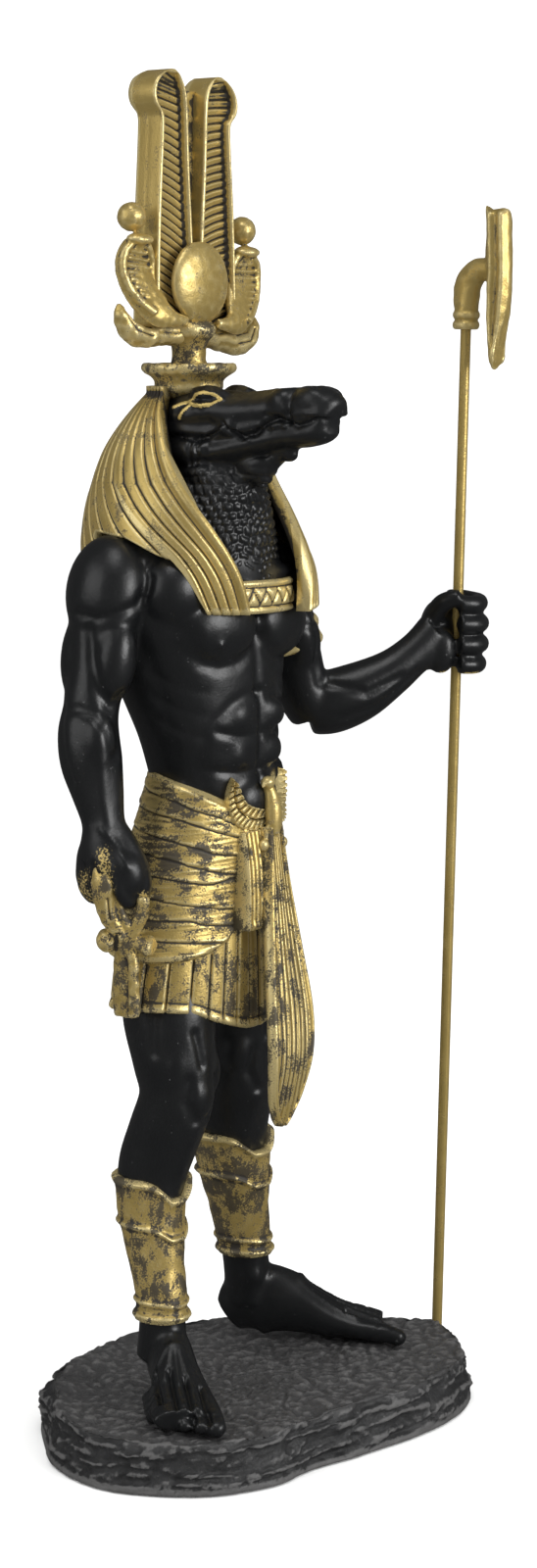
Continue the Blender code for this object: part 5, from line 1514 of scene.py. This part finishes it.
def staff_head(bm):
    """The staff's head: a ringed collar, a bent neck and a long blade with sharp ridges."""
    top, up = rod_top()
    spin = Matrix.Translation(top) @ up.to_track_quat("Z", "Y").to_matrix().to_4x4()
    profile = [(2.6, -5), (2.95, -4.6), (3.1, -4), (2.95, -3.4), (2.6, -3), (2.6, -2.7), (2.95, -2.3),
               (3.1, -1.7), (2.95, -1.1), (2.6, -0.6), (2.55, 0.4), (2.6, 1.5)]
    skin(bm, [[spin @ (Vector((r * wave(7.5 * k + 90), r * wave(7.5 * k), z)) * MM) for k in range(48)]
              for r, z in flowing(profile, 4)])
    side = Vector((1, 0, 0))
    path = flowing(NECK_SPINE, 8)
    rings = []
    for i, (ahead, rise, thick, deep) in enumerate(path):
        low, high = path[max(i - 1, 0)], path[min(i + 1, len(path) - 1)]
        run = Vector((0, low[0] - high[0], high[1] - low[1])).normalized()
        out = run.cross(side)
        rings.append([top + (Vector((0, -ahead, rise)) + side * thick * wave(15 * k + 90)
                             + out * deep * wave(15 * k)) * MM for k in range(24)])
    skin(bm, rings)
    edge = flowing(BLADE_EDGE + BLADE_EDGE[:1], 3)[:-1]
    rings = []
    for x, share in ((-2.1, 0.30), (-1.9, 0.62), (-0.9, 0.93), (-0.4, 1), (0.4, 1), (0.9, 0.93), (1.9, 0.62),
                     (2.1, 0.3)):
        rings.append([top + Vector((x, -(9 + (a - 9) * share), 5 + (r - 5) * (0.82 + 0.18 * share))) * MM
                      for a, r in edge])
    skin(bm, rings)


def work_staff_head(clay):
    """Ridges and dents down the blade."""
    top = rod_top()[0] / MM
    for look in (RIGHT_SIDE, LEFT_SIDE):
        for ahead, height in ((7.6, 0.45), (10.6, 0.4), (9.1, -0.35)):
            clay.stroke([(0, top.y - ahead, top.z + 20.5), (0, top.y - ahead - 0.4, top.z + 8),
                         (0, top.y - ahead + 0.2, top.z - 2), (0, top.y - 8.6, top.z - 12)],
                        0.7, height, look)
    clay.dent(0.12, 0.5)


def light(name, place, size, watts):
    """A soft square light at a place in metres, turned to the statuette."""
    bpy.ops.object.light_add(type="AREA", location=place)
    lamp = bpy.context.object
    lamp.name = name
    lamp.data.size = size
    lamp.data.energy = watts
    lamp.rotation_euler = (Vector(LIGHT_AIM) - Vector(place)).to_track_quat("-Z", "Y").to_euler()


def pale_floor():
    """A plain pale floor."""
    bpy.ops.object.select_all(action="DESELECT")
    bpy.ops.mesh.primitive_plane_add(size=6)
    floor = bpy.context.object
    floor.name = "floor"
    paint = Finish("pale floor")
    paint.put(Base_Color=paint.blend(paint.grain(0.002, 2), (0.88, 0.88, 0.875, 1), (0.90, 0.90, 0.895, 1)),
              Roughness=0.8)
    floor.data.materials.append(paint.material)
    floor.visible_glossy = False


def studio():
    """The floor, the pale room, the lights and the camera."""
    pale_floor()
    world = bpy.data.worlds.new("pale room")
    bpy.context.scene.world = world
    world.use_nodes = True
    tree = world.node_tree
    sky = tree.nodes["Background"]
    sky.inputs["Color"].default_value = (1, 1, 1, 1)
    path = tree.nodes.new("ShaderNodeLightPath")
    dim = tree.nodes.new("ShaderNodeMapRange")
    dim.inputs["To Min"].default_value = ROOM_LIGHT
    dim.inputs["To Max"].default_value = ROOM_SHEEN
    tree.links.new(path.outputs["Is Glossy Ray"], dim.inputs["Value"])
    tree.links.new(dim.outputs["Result"], sky.inputs["Strength"])
    world.cycles.sampling_method = "NONE"
    light("left softbox", (-0.90, 0.25, 0.55), 0.7, 2.2)
    light("front softbox", (0.12, -1.0, 0.42), 0.5, 6.6)
    light("top softbox", (-0.25, -0.20, 0.95), 0.35, 1.5)
    bpy.context.scene.view_settings.view_transform = "Standard"
    bpy.ops.object.camera_add(location=CAMERA_PLACE,
                              rotation=(math.radians(90 - CAMERA_DOWN), 0, math.radians(CAMERA_TURN)))
    camera = bpy.context.object
    camera.data.lens = CAMERA_LENS
    camera.data.sensor_width = 36
    camera.data.sensor_fit = "AUTO"
    camera.data.clip_start = 0.01
    bpy.context.scene.camera = camera


black = black_resin("satin black")
gold = antique_gold("antique gold", 1.1, 0.7)
worn_gold = antique_gold("worn gold cloth", 1.3, 0.95, 0.21, (0.5, 0.5, 1.5))
pleat_gold = antique_gold("worn gold pleats", 1.3, 0.95, 0.16, (1, 1, 0.3))
greave_gold = antique_gold("worn gold greave", 1.0, 0.95, 0.24, (1, 1, 0.45))
dish_gold = antique_gold("worn gold dish", 1.2, 0.95, 0.16)
plume_gold = antique_gold("gold plume", 1.0, 0.6, -0.02, (1, 1, 0.35))
staff_gold = antique_gold("gold staff", 0.8, 0.4, -0.04)
stone = black_rock("dull black rock")

make_body(black)
make_legs(black)
make_head(black)
mould("rock_base", rock, stone, work=chip_rock, rub=(10, 0.35), dense=True)
# the head cloth gets painted shade at its top, low down and towards the back
mould("head_cloth", head_cloth, gold, work=shade_cloth, rub=(5, 0.09))
mould("crown_dish", crown_dish, dish_gold, work=scuff(0.12, 0.7))
mould("horns", horns, gold, work=wave_horns)
mould("sun_disc", disc, gold, work=scuff(0.07, 0.5))
mould("plume_web", web, dish_gold, work=crack_web)
for name, side in (("right", -1), ("left", 1)):
    mould("plume_" + name, plume(side), plume_gold, work=darken_plume, rub=(5, 0.12))
    make_cast("cobra_" + name, cobra(side), gold, scuff(0.1, 0.9))
mould("kilt_skirt", kilt_skirt, pleat_gold, rub=(6, 0.14), dense=True)
mould("kilt_wrap", kilt_wrap, worn_gold, dense=True)
mould("apron", apron, pleat_gold, rub=(6, 0.14))
mould("tab", tab, pleat_gold, rub=(6, 0.14))
mould("falcon_wing_right", wing(1), gold, rub=(6, 0.08))
mould("falcon_wing_left", wing(-1), gold, rub=(6, 0.08))
make_cast("falcon", falcon, gold, soft=2)
make_cast("looped_cross", looped_cross, dish_gold, work_cross)
mould("collar", collar, gold, work=line_collar)
mould("armlet", armlet, gold, work=scuff(0.1, 0.6))
mould("greave_right", greave(RIGHT_GREAVE, GREAVE_RINGS), greave_gold, scuff(0.2, 0.35), dense=True)
mould("greave_left", greave(LEFT_GREAVE, GREAVE_RINGS), greave_gold, scuff(0.2, 0.35), dense=True)
make_cast("staff_crown", staff_head, staff_gold, work_staff_head, 2, "gold_casting", "staff_head")

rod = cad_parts["staff_rod"]
rod.data.materials.clear()
rod.data.materials.append(staff_gold)

studio()
